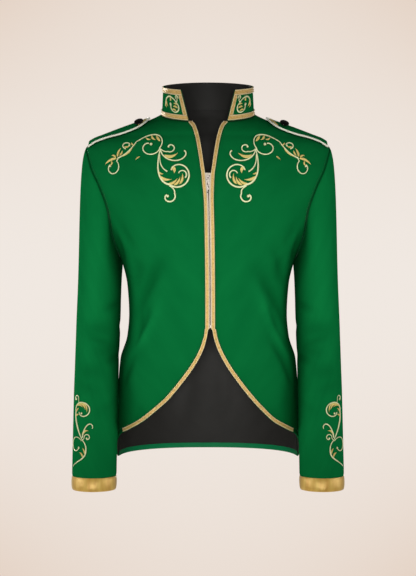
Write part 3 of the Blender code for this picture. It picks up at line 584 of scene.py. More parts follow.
def node(tree, kind, inputs=None, **settings):
    """Shader node, whose inputs are constants or sockets to link."""
    made = tree.nodes.new(kind)
    for key, value in settings.items():
        setattr(made, key, value)
    for key, value in (inputs or {}).items():
        if isinstance(value, bpy.types.NodeSocket):
            tree.links.new(value, made.inputs[key])
        else:
            made.inputs[key].default_value = value
    return made


def rgba(colour):
    """Colour with its alpha where it is a tuple, or the socket or number as it is."""
    return (*colour, 1.0) if isinstance(colour, tuple) else colour


def scaled(colour, factor):
    return tuple(factor * value for value in colour)


def principled(name, **constants):
    """New material with its tree and its shader, whose named inputs are set."""
    made = bpy.data.materials.new(name)
    made.use_nodes = True
    tree = made.node_tree
    shader = tree.nodes["Principled BSDF"]
    for key, value in constants.items():
        shader.inputs[key.replace("_", " ")].default_value = rgba(value)
    return made, tree, shader


def math_node(tree, operation, *values):
    return node(tree, "ShaderNodeMath", dict(enumerate(values)), operation=operation).outputs[0]


def mix_colours(tree, factor, first, second):
    ends = {0: factor, 6: rgba(first), 7: rgba(second)}
    return node(tree, "ShaderNodeMix", ends, data_type="RGBA").outputs[2]


def tint(tree, shader, factor, first, second):
    """Colours a shader with a mix of two colours."""
    tree.links.new(mix_colours(tree, factor, first, second), shader.inputs["Base Color"])


def remap(tree, value, low, high, new_low=0.0, new_high=1.0):
    """Number carried from one range to another, and held inside it."""
    ends = {"Value": value, "From Min": low, "From Max": high, "To Min": new_low, "To Max": new_high}
    return node(tree, "ShaderNodeMapRange", ends).outputs[0]


def cloth_coordinates(tree):
    """Sockets of the distances along and across the cloth, in millimetres."""
    weave = node(tree, "ShaderNodeUVMap", uv_map="weave")
    parts = node(tree, "ShaderNodeSeparateXYZ", {"Vector": weave.outputs[0]})
    return weave.outputs[0], parts.outputs[0], parts.outputs[1]


def waves(tree, along, period):
    """Smooth wave from 0 to 1, with a period in the units of along."""
    turn = math_node(tree, "MULTIPLY", along, 2 * math.pi / period)
    return math_node(tree, "MULTIPLY_ADD", math_node(tree, "SINE", turn), 0.5, 0.5)


def noise(tree, vector, scale, detail=2.0):
    return node(tree, "ShaderNodeTexNoise", {"Vector": vector, "Scale": scale, "Detail": detail}).outputs[0]


def bump(tree, shader, height, strength, distance_mm):
    made = node(tree, "ShaderNodeBump", {"Height": height, "Strength": strength,
                                         "Distance": distance_mm * MM})
    tree.links.new(made.outputs[0], shader.inputs["Normal"])


def object_noise(tree, scale, detail=2.0):
    """Noise in the piece's own space, for pieces without a weave."""
    return noise(tree, node(tree, "ShaderNodeTexCoord").outputs["Object"], scale, detail)


def green_material(name, painted_light):
    """Deep green cloth with a fine twill, soft mottling, a satin sheen, and painted shade in hollows, beside
    stitches and in fold troughs. Painted light scales its lightness.
    """
    made, tree, shader = principled(name, Roughness=0.5, Sheen_Weight=0.02, Sheen_Roughness=0.4,
                                    Sheen_Tint=GREEN_SHEEN, Specular_IOR_Level=0.0)
    vector, along, across = cloth_coordinates(tree)
    broad = noise(tree, vector, 0.018, 3.0)
    fine = noise(tree, vector, 0.9)
    blotch = math_node(tree, "MULTIPLY_ADD", fine, 0.25, math_node(tree, "MULTIPLY", broad, 0.75))
    open_cloth = mix_colours(tree, remap(tree, blotch, 0.3, 0.7), scaled(GREEN_DEEP, painted_light), scaled(GREEN, painted_light))
    # Painted shade: ambient occlusion darkens the green in hollows, between parts, and as a thin painted
    # shadow beside raised stitches.
    broad_painted_shade, near_painted_shade = (
        node(tree, "ShaderNodeAmbientOcclusion", {"Distance": reach * MM}, samples=6).outputs["AO"]
        for reach in (PAINTED_SHADE_REACH, STITCH_SHADE_REACH))
    painted_shade = math_node(tree, "MULTIPLY", broad_painted_shade, math_node(tree, "POWER", near_painted_shade, 2.0))
    # Painted shade in the fold troughs, lighter on ridges, from the stored fold depth.
    fold = node(tree, "ShaderNodeAttribute", attribute_name="fold").outputs["Fac"]
    wear_and_painted_shade = remap(tree, fold, FOLD_RIDGE, FOLD_TROUGH, 1.0, FOLD_SHADE)
    tint(tree, shader, math_node(tree, "MULTIPLY", painted_shade, wear_and_painted_shade), GREEN_PAINTED_SHADE, open_cloth)
    twill = waves(tree, math_node(tree, "ADD", along, across), TWILL_PERIOD)
    threads = math_node(tree, "MULTIPLY", *(waves(tree, way, THREAD_PERIOD) for way in (along, across)))
    weave = math_node(tree, "MULTIPLY_ADD", twill, 0.6, math_node(tree, "MULTIPLY", threads, 0.4))
    bump(tree, shader, math_node(tree, "MULTIPLY_ADD", fine, 0.5, weave), 0.35, 0.12)
    return made


def lining_material(name, colour):
    """Smooth lining with a faint cross weave."""
    made, tree, shader = principled(name, Roughness=0.5, Sheen_Weight=0.02, Specular_IOR_Level=0.08)
    vector, along, across = cloth_coordinates(tree)
    tint(tree, shader, noise(tree, vector, 0.03), scaled(colour, 0.75), colour)
    weave = math_node(tree, "MULTIPLY", *(waves(tree, way, LINING_PERIOD) for way in (along, across)))
    bump(tree, shader, weave, 0.25, 0.08)
    return made


def braid_material():
    """Woven gold braid: a chevron of threads with darker gaps."""
    made, tree, shader = principled("gold_braid", Roughness=0.42, Metallic=0.12, Sheen_Weight=0.2)
    vector, along, across = cloth_coordinates(tree)
    fold = math_node(tree, "PINGPONG", across, TRIM_WIDTH / 4)
    chevron = waves(tree, math_node(tree, "ADD", along, fold), 1.3)
    strands = waves(tree, math_node(tree, "SUBTRACT", along, fold), 0.65)
    pattern = math_node(tree, "MULTIPLY_ADD", chevron, 0.65, math_node(tree, "MULTIPLY", strands, 0.35))
    wear_and_painted_shade = math_node(tree, "MULTIPLY_ADD", noise(tree, vector, 0.25, 3.0), 0.8,
                     math_node(tree, "MULTIPLY", pattern, 0.5))
    tint(tree, shader, remap(tree, wear_and_painted_shade, 0.38, 0.72), *COLOURS["gold_braid"])
    bump(tree, shader, pattern, 0.7, 0.25)
    return made


def edge_material():
    """Pale twisted cord that edges the braid."""
    made, tree, shader = principled("braid_edge", Roughness=0.4, Metallic=0.05, Sheen_Weight=0.2)
    _, along, across = cloth_coordinates(tree)
    twist = waves(tree, math_node(tree, "ADD", along, math_node(tree, "MULTIPLY", across, 1.2)), 1.2)
    tint(tree, shader, twist, *COLOURS["braid_edge"])
    bump(tree, shader, twist, 0.7, 0.25)
    return made


def satin_material():
    """Gold satin with long soft streaks of painted sheen."""
    made, tree, shader = principled("gold_satin", Roughness=0.33, Metallic=0.15, Sheen_Weight=0.25,
                                    Anisotropic=0.5)
    _, along, across = cloth_coordinates(tree)
    streak = node(tree, "ShaderNodeCombineXYZ", {"X": along, "Y": math_node(tree, "MULTIPLY", across, 0.12)})
    broad = noise(tree, streak.outputs[0], 0.11, 3.0)
    # Painted sheen: long streaks of lighter and darker gold in the colour.
    tint(tree, shader, remap(tree, broad, 0.3, 0.7), *COLOURS["gold_satin"])
    bump(tree, shader, math_node(tree, "MULTIPLY_ADD", broad, 0.8, waves(tree, along, 0.45)), 0.25, 0.1)
    return made


def thread_material(name):
    """Satin stitch: fine threads across each line, from one colour in its middle to painted shade at its
    edges and on one side.
    """
    made, tree, shader = principled(name, Roughness=0.4, Metallic=0.1, Specular_IOR_Level=0.4)
    vector, along, across = cloth_coordinates(tree)
    # Painted shade: the edges of each line and one side of it turn towards the darker edge colour, over a
    # random tone.
    out = math_node(tree, "POWER", math_node(tree, "ABSOLUTE", across), 4.5)
    tone_and_painted_shade = math_node(tree, "MULTIPLY_ADD", noise(tree, vector, 0.35), 0.36,
                     math_node(tree, "MULTIPLY_ADD", out, 0.6, -0.22))
    tone_and_painted_shade = math_node(tree, "MULTIPLY_ADD", across, 0.22, tone_and_painted_shade)
    tint(tree, shader, node(tree, "ShaderNodeClamp", {"Value": tone_and_painted_shade}).outputs[0], *COLOURS[name])
    threads = waves(tree, math_node(tree, "MULTIPLY_ADD", across, 0.35, along), STITCH_PERIOD)
    bump(tree, shader, threads, 0.6, 0.2)
    return made


def cord_material():
    """Ivory satin piping, turning golden in the hollows of its twist."""
    made, tree, shader = principled("cream_cord", Roughness=0.38, Sheen_Weight=1.0)
    _, along, across = cloth_coordinates(tree)
    twist = waves(tree, math_node(tree, "ADD", along, across), 2.2)
    tint(tree, shader, twist, *COLOURS["cream_cord"])
    bump(tree, shader, twist, 0.5, 0.3)
    return made


def stitch_material():
    made, tree, shader = principled("green_stitch", Roughness=0.5)
    tint(tree, shader, object_noise(tree, 900.0), *COLOURS["green_stitch"])
    return made


def button_material():
    """Polished black, with faint polishing marks."""
    made, tree, shader = principled("black_button", Base_Color=BUTTON_BLACK, Specular_IOR_Level=0.2)
    marks = object_noise(tree, 700.0, 4.0)
    tree.links.new(remap(tree, marks, 0.0, 1.0, 0.06, 0.14), shader.inputs["Roughness"])
    bump(tree, shader, marks, 0.06, 0.05)
    return made


def metal_material(name, colour, pit_colour, pit_scale, pit_level):
    """Pale plated metal with worn patches, and darker pits where a coarse noise is high."""
    made, tree, shader = principled(name, Metallic=0.25)
    wear = object_noise(tree, 260.0, 5.0)
    pits = remap(tree, object_noise(tree, pit_scale, 1.0), pit_level, pit_level + 0.06)
    tint(tree, shader, pits, mix_colours(tree, wear, scaled(colour, 0.72), colour), pit_colour)
    tree.links.new(remap(tree, wear, 0.0, 1.0, 0.3, 0.5), shader.inputs["Roughness"])
    bump(tree, shader, math_node(tree, "MULTIPLY_ADD", pits, -2.0, wear), 0.3, 0.1)
    return made


def tape_material():
    made, tree, shader = principled("zip_tape", Roughness=0.62, Sheen_Weight=0.15)
    _, along, across = cloth_coordinates(tree)
    ribs = waves(tree, math_node(tree, "MULTIPLY_ADD", waves(tree, along, 1.6), 0.4, across), 0.8)
    tint(tree, shader, ribs, *COLOURS["zip_tape"])
    bump(tree, shader, ribs, 0.5, 0.15)
    return made


FINISHES = {
    "green_cloth": green_material("green_cloth", BODY_PAINTED_LIGHT),
    # Lighter copy of the green cloth for the sleeves and straps: painted light.
    "green_cloth_painted_lighter": green_material("green_cloth_painted_lighter", SLEEVE_PAINTED_LIGHT),
    "green_facing": lining_material("green_facing", FACING_GREEN),
    "green_binding": lining_material("green_binding", BINDING_GREEN),
    "black_lining": lining_material("black_lining", LINING_BLACK),
    "gold_braid": braid_material(),
    "braid_edge": edge_material(),
    "gold_satin": satin_material(),
    "line_thread": thread_material("line_thread"),
    "leaf_thread": thread_material("leaf_thread"),
    "cream_cord": cord_material(),
    "green_stitch": stitch_material(),
    "black_button": button_material(),
    "zip_metal": metal_material("zip_metal", *ZIP_METAL),
    "zip_pull_metal": metal_material("zip_pull_metal", *PULL_METAL),
    "zip_tooth_metal": metal_material("zip_tooth_metal", *TOOTH_METAL),
    "zip_tape": tape_material(),
}
BRAID_FINISHES = ("gold_braid", "braid_edge")


def number_grid(shape):
    return np.arange(math.prod(shape)).reshape(shape)


def closed(grid):
    """Grid of points whose first column comes again at its end."""
    return np.concatenate((grid, grid[:, :1]), 1)


def joined_up(number):
    """Numbers of a closed grid, with those of the first column in its last one."""
    return np.concatenate((number[..., :-1], number[..., :1]), -1)


def cells(index):
    """Quads between neighbouring lines of a grid of numbers, as rows of four."""
    corners = (index[:-1, :-1], index[:-1, 1:], index[1:, 1:], index[1:, :-1])
    return np.stack(corners, -1).reshape(-1, 4)


def new_object(name, data):
    made = bpy.data.objects.new(name, data)
    bpy.context.scene.collection.objects.link(made)
    return made


def mesh_piece(name, points, quads, finishes, slot, coordinates=None, picks=None, sharp=SHARP_ANGLE):
    """Piece from points in millimetres, quads of point numbers, and a cloth coordinate for each corner."""
    data = bpy.data.meshes.new(name)
    data.from_pydata((points * MM).tolist(), [], quads.tolist())
    layer = data.uv_layers.new(name="weave")
    if coordinates is None:
        coordinates = np.zeros((4 * len(quads), 2))
    layer.data.foreach_set("uv", coordinates.astype(np.float32).ravel())
    made = new_object(name, data)
    for finish in finishes:
        data.materials.append(FINISHES[finish])
    if picks is not None:
        data.polygons.foreach_set("material_index", picks.astype(np.int32))
    data.polygons.foreach_set("use_smooth", np.ones(len(quads), bool))
    mesh = bmesh.new()
    mesh.from_mesh(data)
    bmesh.ops.recalc_face_normals(mesh, faces=mesh.faces)
    mesh.to_mesh(data)
    mesh.free()
    data.set_sharp_from_angle(angle=math.radians(sharp))
    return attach(made, BODY_NAME)


def spans(grid):
    """Distances along and across a grid of points, as cloth coordinates in millimetres."""
    return pair(run_lengths(grid, 1), run_lengths(grid))


def shell(name, outer, inner, finishes, slot, ring=False, picks=None):
    """Closed wall between two grids of points. Finishes are those of the outer and the inner face."""
    if ring:
        outer, inner = closed(outer), closed(inner)
    rows, columns = outer.shape[:2]
    number = number_grid((2, rows, columns))

    def walls(number):
        """Quads of the outer face, of the inner face and of the rims between them."""
        rims = [number[:, 0], number[:, -1]]
        if not ring:
            rims += [number[:, :, 0], number[:, :, -1]]
        return np.concatenate([cells(part) for part in (number[0], number[1], *rims)])

    quads = walls(joined_up(number) if ring else number)
    inside = (rows - 1) * (columns - 1)
    chosen = np.zeros(len(quads), int)
    chosen[inside:2 * inside] = len(finishes) - 1
    if picks is not None:
        chosen[:inside] = np.broadcast_to(picks, (rows - 1, columns - 1)).ravel()
    points = np.concatenate((outer.reshape(-1, 3), inner.reshape(-1, 3)))
    coordinates = np.tile(spans(outer).reshape(-1, 2), (2, 1))[walls(number).ravel()]
    return mesh_piece(name, points, quads, finishes, slot, coordinates, chosen)


def declare_cut(piece, grid, ring=False):
    """Works out the width and the length of the grid that a piece was made from, and keeps neither; the piece
    is not used.
    """
    if ring:
        grid = closed(grid)
    width, length = (run_lengths(grid, axis).max() * MM for axis in (1, 0))


def mark_folds(piece, depth):
    """Stores the depth of the folds at each point of a piece's two faces, from which the green cloth paints
    shade in its troughs.
    """
    layer = piece.data.attributes.new("fold", "FLOAT", "POINT")
    layer.data.foreach_set("value", np.tile(depth.ravel(), 2).astype(np.float32))


def panel_faces(places, outer, inner, gap, borders):
    """Faces of a body panel at two distances out, with gaps at the named borders."""
    return [pull_in(body_point(places, out), gap, borders) for out in (outer, inner)]


def make_panel(node_name, places, dipped, gapped, inside):
    """Cloth panel of the body: dipped borders turn down to a seam, gapped ones keep clear of it."""
    skin = body_point(places)
    faces = panel_faces(places, -seam_dip(skin, dipped), -CLOTH, SEAM / 2, gapped)
    piece = shell("cloth_" + node_name, *faces, ("green_cloth", inside), "green_cloth")
    mark_folds(piece, fold_depth(places[..., 0], places[..., 1]))
    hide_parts(node_name)
    declare_cut(piece, skin)


def make_fronts():
    for side, name in SIDES:
        make_panel("front_" + name, crowd(front_places(side)), ("top", "right"), ("right",),
                   "black_lining")


def make_back():
    places = crowd(back_places())
    make_panel("back", places, ("top", "left", "right"), ("left", "right"), "green_cloth")
    make_back_lining(places)


def make_back_lining(places):
    """Lining that covers the back's inside down to the green hem facing."""
    inside = -(CLOTH + LAYER)
    share = np.linspace(0, 1, len(places))[:, None]
    lining = pair(places[..., 0], places[..., 1] + (FACING_HEIGHT + SEAM) * share ** LINING_HOLD)
    faces = panel_faces(lining, inside, inside - LINING, 2 * SEAM, ("left", "right", "top"))
    piece = shell("lining_back", *faces, ("black_lining",), "black_lining")
    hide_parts("back_lining")
    declare_cut(piece, faces[0])
    rises = np.linspace(FACING_HEIGHT, FACING_HEM_STEP, FACING_ROWS)[:, None]
    facing = pair(places[-1:, :, 0], places[-1:, :, 1] + rises)
    faces = panel_faces(facing, inside, inside - LINING, 2 * SEAM, ("left", "right"))
    piece = shell("facing_back_hem", *faces, ("green_facing",), "green_facing")
    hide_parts("back_hem_facing")


SLEEVE_STEPS = 45
HEAD_STEPS = 44
ARM_STEPS = 90
BINDING_DEPTH = 4.2
BINDING_REACH = 6.0
BINDING_ROW = 4
SLEEVE_ANGLES = 180 * np.arange(2 * SLEEVE_STEPS) / SLEEVE_STEPS
ARM_HEIGHTS = np.linspace(BICEP_HEIGHT, CUFF_TOP + SEAM, ARM_STEPS + 1)[:, None]


def sleeve_inset(angle, height):
    """Depth of a sleeve's folds and creases."""
    inset = np.zeros(np.broadcast(angle, height).shape)
    for middle, level, half_angle, half_width, depth, tilt in ELBOW_FOLDS + SLEEVE_CREASES:
        turned = signed(angle - middle)
        off_angle = np.minimum(np.abs(turned) / half_angle, 1.0)
        off_height = (height - level - tilt * turned) / half_width
        inset += depth * np.cos(off_angle * np.pi / 2) ** 2 * np.exp(-off_height ** 2)
    return inset


def sleeve_skin(side, angle, height, out=0.0):
    """Points of a sleeve's outer face: the angle runs from the outer side to the front."""
    turn = np.radians(angle)
    inset = sleeve_inset(angle, height) - out
    x = SLEEVE["centre_x"](height) + (SLEEVE["half_width"](height) - inset) * np.cos(turn)
    y = SLEEVE["centre_y"](height) - (SLEEVE["half_depth"](height) - inset) * np.sin(turn)
    return np.stack(np.broadcast_arrays(side * x, y, height), -1)


def armhole_places(side):
    """Places round an armhole, from the shoulder tip down the front and up the back."""
    front, back = (even_places(armhole(side, facing), SLEEVE_STEPS) for facing in (-1, 1))
    return np.concatenate((front, back[-2:0:-1]))


def armhole_ring(side):
    """Points of a sleeve's head, at a seam's gap from the body's armhole."""
    places = armhole_places(side)
    skin = body_skin(places)
    normal = body_normal(places)
    along = np.roll(skin, -1, 0) - np.roll(skin, 1, 0)
    away = unit(np.cross(normal, along))
    inward = (away * (skin.mean(0) - skin)).sum(-1) < 0
    away[inward] *= -1
    under = 0.5 - 0.5 * np.cos(np.pi * np.arange(2 * SLEEVE_STEPS) / SLEEVE_STEPS)
    return skin + away * SEAM + normal * (UNDERARM_STEP * under ** 2)[:, None]


def sleeve_grid(side):
    """Rings of points down a sleeve, from the armhole over the upper arm to the cuff."""
    turn = np.radians(SLEEVE_ANGLES)
    top = armhole_ring(side)
    end = sleeve_skin(side, SLEEVE_ANGLES, BICEP_HEIGHT)
    below = unit(sleeve_skin(side, SLEEVE_ANGLES, BICEP_HEIGHT - 1) - end)
    outward = np.stack((side * np.cos(turn), -np.sin(turn), 0 * turn), -1)
    outside = (0.5 + 0.5 * np.cos(turn))[:, None]
    start_run = outward * SLEEVE_HEAD_OUT * outside ** SLEEVE_HEAD_FOCUS
    start_run = start_run - np.array((0, 0, 1)) * (SLEEVE_HEAD_DROP + SLEEVE_UNDER_DROP * (1 - outside))
    end_run = below * SLEEVE_HEAD_PULL * np.linalg.norm(top - end, axis=-1, keepdims=True)
    t = ((np.arange(HEAD_STEPS) / HEAD_STEPS) ** SLEEVE_HEAD_SPREAD)[:, None, None]
    arm = sleeve_skin(side, SLEEVE_ANGLES[None], ARM_HEIGHTS)
    return np.concatenate((blend(top, start_run, end, end_run, t), arm))


def sleeve_depth():
    """Depth of the folds at each point of a closed sleeve, fading out towards the armhole."""
    angles = np.append(SLEEVE_ANGLES, 360.0)[None]
    fading = (np.arange(HEAD_STEPS) / HEAD_STEPS)[:, None]
    return np.concatenate((sleeve_inset(angles, BICEP_HEIGHT) * fading, sleeve_inset(angles, ARM_HEIGHTS)))


def ring_normals(rows):
    """Outward directions for rings of points, from their neighbours."""
    above = np.concatenate((rows[:1], rows[:-1]))
    below = np.concatenate((rows[1:], rows[-1:]))
    normal = unit(np.cross(np.roll(rows, -1, 1) - np.roll(rows, 1, 1), below - above))
    outward = (normal * (rows - rows.mean(1, keepdims=True))).sum(-1, keepdims=True)
    return np.where(outward > 0, normal, -normal)


def make_armhole_tape(side, name, skin, normals):
    """Green tape that binds an armhole's seam inside, from under the body to under the sleeve."""
    places = armhole_places(side)
    body, out, sleeve_out = body_point(places, -BINDING_DEPTH), body_normal(places), normals[BINDING_ROW]
    away = unit(skin[0] - skin[BINDING_ROW])
    face = np.stack((body + away * BINDING_REACH, body, skin[BINDING_ROW] - sleeve_out * BINDING_DEPTH))
    behind = face - np.stack((out, out, sleeve_out)) * LINING / 2
    piece = shell("tape_armhole_" + name, face, behind, ("green_binding",), "green_cloth", ring=True)
    declare_cut(piece, face, ring=True)


def make_sleeves():
    for side, name in SIDES:
        skin = sleeve_grid(side)
        normals = ring_normals(skin)
        make_armhole_tape(side, name, skin, normals)
        outer = skin - normals * seam_dip(skin, ("top", "bottom"))[..., None]
        outer[0] = skin[0]
        piece = shell("cloth_sleeve_" + name, outer, skin - normals * CLOTH, ("green_cloth_painted_lighter", "black_lining"),
                      "green_cloth", ring=True)
        mark_folds(piece, sleeve_depth())
        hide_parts("sleeve_" + name)
        declare_cut(piece, skin, ring=True)
        make_cuff(side, name)


CUFF_STEPS = 16
# Creases of a cuff: angle, half angle and depth. They turn a little from its top to its edge.
CUFF_FOLDS = ((20, 12, 0.5), (52, 16, 0.9), (78, 10, 0.5), (104, 15, 0.8), (140, 14, 0.6),
              (190, 20, 0.8), (240, 16, 0.6), (290, 22, 0.9), (330, 14, 0.5))
CUFF_FOLD_TURN = 14
CUFF_EDGE_ROUND = 1.2
CUFF_TOP_ROUND = 0.7
CUFF_PLUMP = 0.6


def make_cuff(side, name):
    """Satin cuff band, softly creased and rounded over at its lower edge."""
    share = np.linspace(0, 1, CUFF_STEPS + 1)[:, None]
    height = CUFF_TOP + (CUFF_BOTTOM - CUFF_TOP) * share
    crease = np.zeros(np.broadcast(SLEEVE_ANGLES, share).shape)
    for middle, half_angle, depth in CUFF_FOLDS:
        turned = signed(SLEEVE_ANGLES - middle - CUFF_FOLD_TURN * (share - 0.5))
        crease += depth * np.exp(-(turned / half_angle) ** 2) * (0.5 + 0.5 * share)
    rounding = CUFF_EDGE_ROUND * share ** 10 + CUFF_TOP_ROUND * (1 - share) ** 10
    plump = CUFF_PLUMP * np.sin(np.pi * share)
    outer, inner = (sleeve_skin(side, SLEEVE_ANGLES[None], height, CUFF_STEP + out)
                    for out in (plump - crease - rounding, -CLOTH))
    piece = shell("cloth_cuff_" + name, outer, inner, ("gold_satin",), "gold_satin", ring=True)
    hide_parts("cuff_" + name)
    declare_cut(piece, outer, ring=True)


def collar_skin(u, v):
    """Points of the collar's outer face: u runs round from the wearer's left end, v runs up."""
    end_x = COLLAR_END_BASE + (COLLAR_END_TOP - COLLAR_END_BASE) * v
    size = {key: COLLAR_BASE[key] + (COLLAR_TOP[key] - COLLAR_BASE[key]) * v for key in COLLAR_BASE}
    end_angle = np.arcsin(end_x / size["half_width"])
    turn = end_angle + (2 * np.pi - 2 * end_angle) * u
    x = size["half_width"] * np.sin(turn)
    y = size["centre"] - size["depth"] * np.cos(turn)
    return np.stack(np.broadcast_arrays(x, y, size["level"] + size["slope"] * y), -1)


def collar_point(u, v, out=0.0):
    step = 0.002
    round_it = collar_skin(u + step, v) - collar_skin(u - step, v)
    up_it = collar_skin(u, v + step) - collar_skin(u, v - step)
    out = np.asarray(out, float)[..., None]
    return collar_skin(u, v) + unit(np.cross(round_it, up_it)) * out


COLLAR_STEPS = 120
COLLAR_ROWS = 13
COLLAR_ROUND = 0.5
COLLAR_END_ROWS = 24
COLLAR_LENGTH = np.linalg.norm(np.diff(collar_skin(np.linspace(0, 1, 200), 0.5), axis=0), axis=-1).sum()
COLLAR_LINING_DROP = 3.6

# The braid's section from one edge to the other: share of its width, rise, and 1 for an edge cord.
BRAID_SECTION = (
    (0.00, 0.10, 1), (0.03, 0.75, 1), (0.08, 1.00, 1), (0.14, 0.85, 1), (0.18, 0.62, 0),
    (0.30, 0.74, 0), (0.42, 0.70, 0), (0.50, 0.60, 0), (0.58, 0.70, 0), (0.70, 0.74, 0),
    (0.82, 0.62, 1), (0.86, 0.85, 1), (0.92, 1.00, 1), (0.97, 0.75, 1), (1.00, 0.10, 1),
)
BRAID_RISE = 1.35
BRAID_SHARES, BRAID_RISES, BRAID_CORDS = np.array(BRAID_SECTION).T
BRAID_RISES = BRAID_RISES * BRAID_RISE
BRAID_PICKS = BRAID_CORDS[:-1].astype(int)


def collar_piece(name, node_name, u, v, low_out, high_out, finishes, picks=None):
    """Shell on the collar between two distances out of its face, for grids of u and v."""
    u, v, high_out = np.broadcast_arrays(u, v, high_out)
    outer = collar_point(u, v, high_out)
    piece = shell(name, outer, collar_point(u, v, low_out), finishes, finishes[0], picks=picks)
    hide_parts(node_name)
    return piece, outer


def make_collar():
    around = np.linspace(0, 1, COLLAR_STEPS + 1)[None, :]
    up = np.linspace(0, 1, COLLAR_ROWS)[:, None]
    rounding = COLLAR_ROUND * (2 * np.abs(up - 0.5)) ** 16
    piece, grid = collar_piece("cloth_collar", "collar", around, up, -COLLAR_WALL, -rounding,
                               ("green_cloth",))
    declare_cut(piece, grid)
    inside = -(COLLAR_WALL + COLLAR_PADDING)
    tongue = -COLLAR_LINING_DROP / COLLAR_HEIGHT
    lining_up = tongue + (1 - tongue) * up
    piece, grid = collar_piece("lining_collar", "collar_lining", around, lining_up, inside - LINING, inside,
                               ("black_lining",))
    declare_cut(piece, grid)
    make_collar_trims(around)


def make_collar_trims(around):
    """Braid on the collar: along its top, along its base, and up its two front ends."""
    band, lift, gap = (size / COLLAR_HEIGHT for size in (COLLAR_BAND, COLLAR_TRIM_LIFT, SEAM))
    end_band = COLLAR_END_BAND / COLLAR_LENGTH
    between = np.linspace(band + gap, 1 - band - gap, COLLAR_END_ROWS)[:, None]
    upright, level = BRAID_SHARES[:, None], BRAID_SHARES[None, :]
    for name, u, v, axis in (
        ("top", around, 1 - band + band * upright, 1),
        ("base", around, lift + (band - lift) * upright, 1),
        ("left", end_band * level, between, 0),
        ("right", 1 - end_band + end_band * level, between, 0),
    ):
        rise, picks = (np.expand_dims(values, axis) for values in (LAYER + BRAID_RISES, BRAID_PICKS))
        collar_piece("braid_collar_" + name, "collar_trim_" + name, u, v, LAYER, rise, BRAID_FINISHES, picks)


TRIM_EDGE_STEPS = 210
TRIM_HEM_STEPS = 130
TRIM_ROUNDS = 16


def front_line(edge, hem, rounds):
    """Places down a front's edge and on round its hem, and the smoothed way in which they run."""
    path = np.concatenate((edge, hem[1:]))
    return path, smoothed(np.gradient(path, axis=0), rounds)


def make_front_trims():
    """Braid down each front edge and round the cutaway."""
    first, last = CUTAWAY_ROWS[0][0], CUTAWAY_ROWS[-1][0]
    end_share = (CUTAWAY_TRIM_END - first) / (last - first)
    for side, name in SIDES:
        edge = even_places(front_edge(side), TRIM_EDGE_STEPS)
        hem_path = cutaway_edge(side)
        hem = even_places(lambda share: hem_path(share * end_share), TRIM_HEM_STEPS)
        edge = edge[np.linalg.norm(body_skin(edge) - body_skin(edge[:1]), axis=-1) > TRIM_START]
        path, tangents = front_line(edge, hem, TRIM_ROUNDS)
        places = beside(path[:, None], tangents[:, None], side * TRIM_WIDTH * BRAID_SHARES[None, :, None])
        piece = shell("braid_front_" + name, body_point(places, TRIM_GAP + BRAID_RISES),
                      body_point(places, TRIM_GAP), BRAID_FINISHES, "gold_braid", picks=BRAID_PICKS[None, :])
        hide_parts("front_trim_" + name)


def place_on_shoulder(side, x, y):
    """Places at which the shoulder's upper face lies over the plan points x, y."""
    x, y = np.broadcast_arrays(np.asarray(x, float), np.asarray(y, float))
    low, high = np.full(x.shape, SHOULDER_LOWEST), np.full(x.shape, NECK_HEIGHT)
    for _ in range(HALVINGS):
        middle = (low + high) / 2
        away = y - BODY["centre"](middle)
        depth = np.where(away < 0, BODY["front"](middle), BODY["back"](middle))
        power = BODY["power"](middle)
        beyond = (x / BODY["half_width"](middle)) ** power + (np.abs(away) / depth) ** power > 1
        high = np.where(beyond, middle, high)
        low = np.where(beyond, low, middle)
    share = np.minimum(x / BODY["half_width"](low), 1.0)
    turn = np.degrees(np.arcsin(share ** (BODY["power"](low) / 2)))
    return pair(side * np.where(y < BODY["centre"](low), turn, 180 - turn), low)


def strap_point(side, x, across, out):
    return body_point(place_on_shoulder(side, x, BODY["centre"](RIDGE_LEVEL) + across), out)


def tube(name, route, radius, finish, slot, steps=14):
    """Round cord through points, with rounded ends."""
    tangents = unit(np.gradient(route, axis=0))
    side = unit(np.cross(tangents, (0.0, 0.0, 1.0)))
    upward = np.cross(side, tangents)
    turns = 2 * np.pi * np.arange(steps + 1) / steps
    share = np.linspace(0, 1, len(route))
    taper = np.clip(np.minimum(share, 1 - share) * len(route) / 2, 0.05, 1) ** 0.5
    ring = side[:, None] * np.cos(turns)[:, None] + upward[:, None] * np.sin(turns)[:, None]
    grid = route[:, None] + ring * (radius * taper)[:, None, None]
    number = number_grid(grid.shape[:2])
    coordinates = pair(run_lengths(route)[:, None], turns[None] * radius).reshape(-1, 2)
    return mesh_piece(name, grid.reshape(-1, 3), cells(joined_up(number)), (finish,), slot,
                      coordinates[cells(number).ravel()])


def at_lengths(marks, lengths, values):
    """Values at marks along a way, between those at the given lengths."""
    return np.stack([np.interp(marks, lengths, column) for column in values.T], -1)


def smooth_points(points, count):
    """Evenly spread points on a smooth curve through a few points."""
    lengths = run_lengths(points)
    return smoothed(at_lengths(np.linspace(0, lengths[-1], count), lengths, points), count // 12)


STRAP_STEPS = 60
STRAP_LINES = 19
STRAP_ROUND = 0.7
PIPING_STEPS = 150


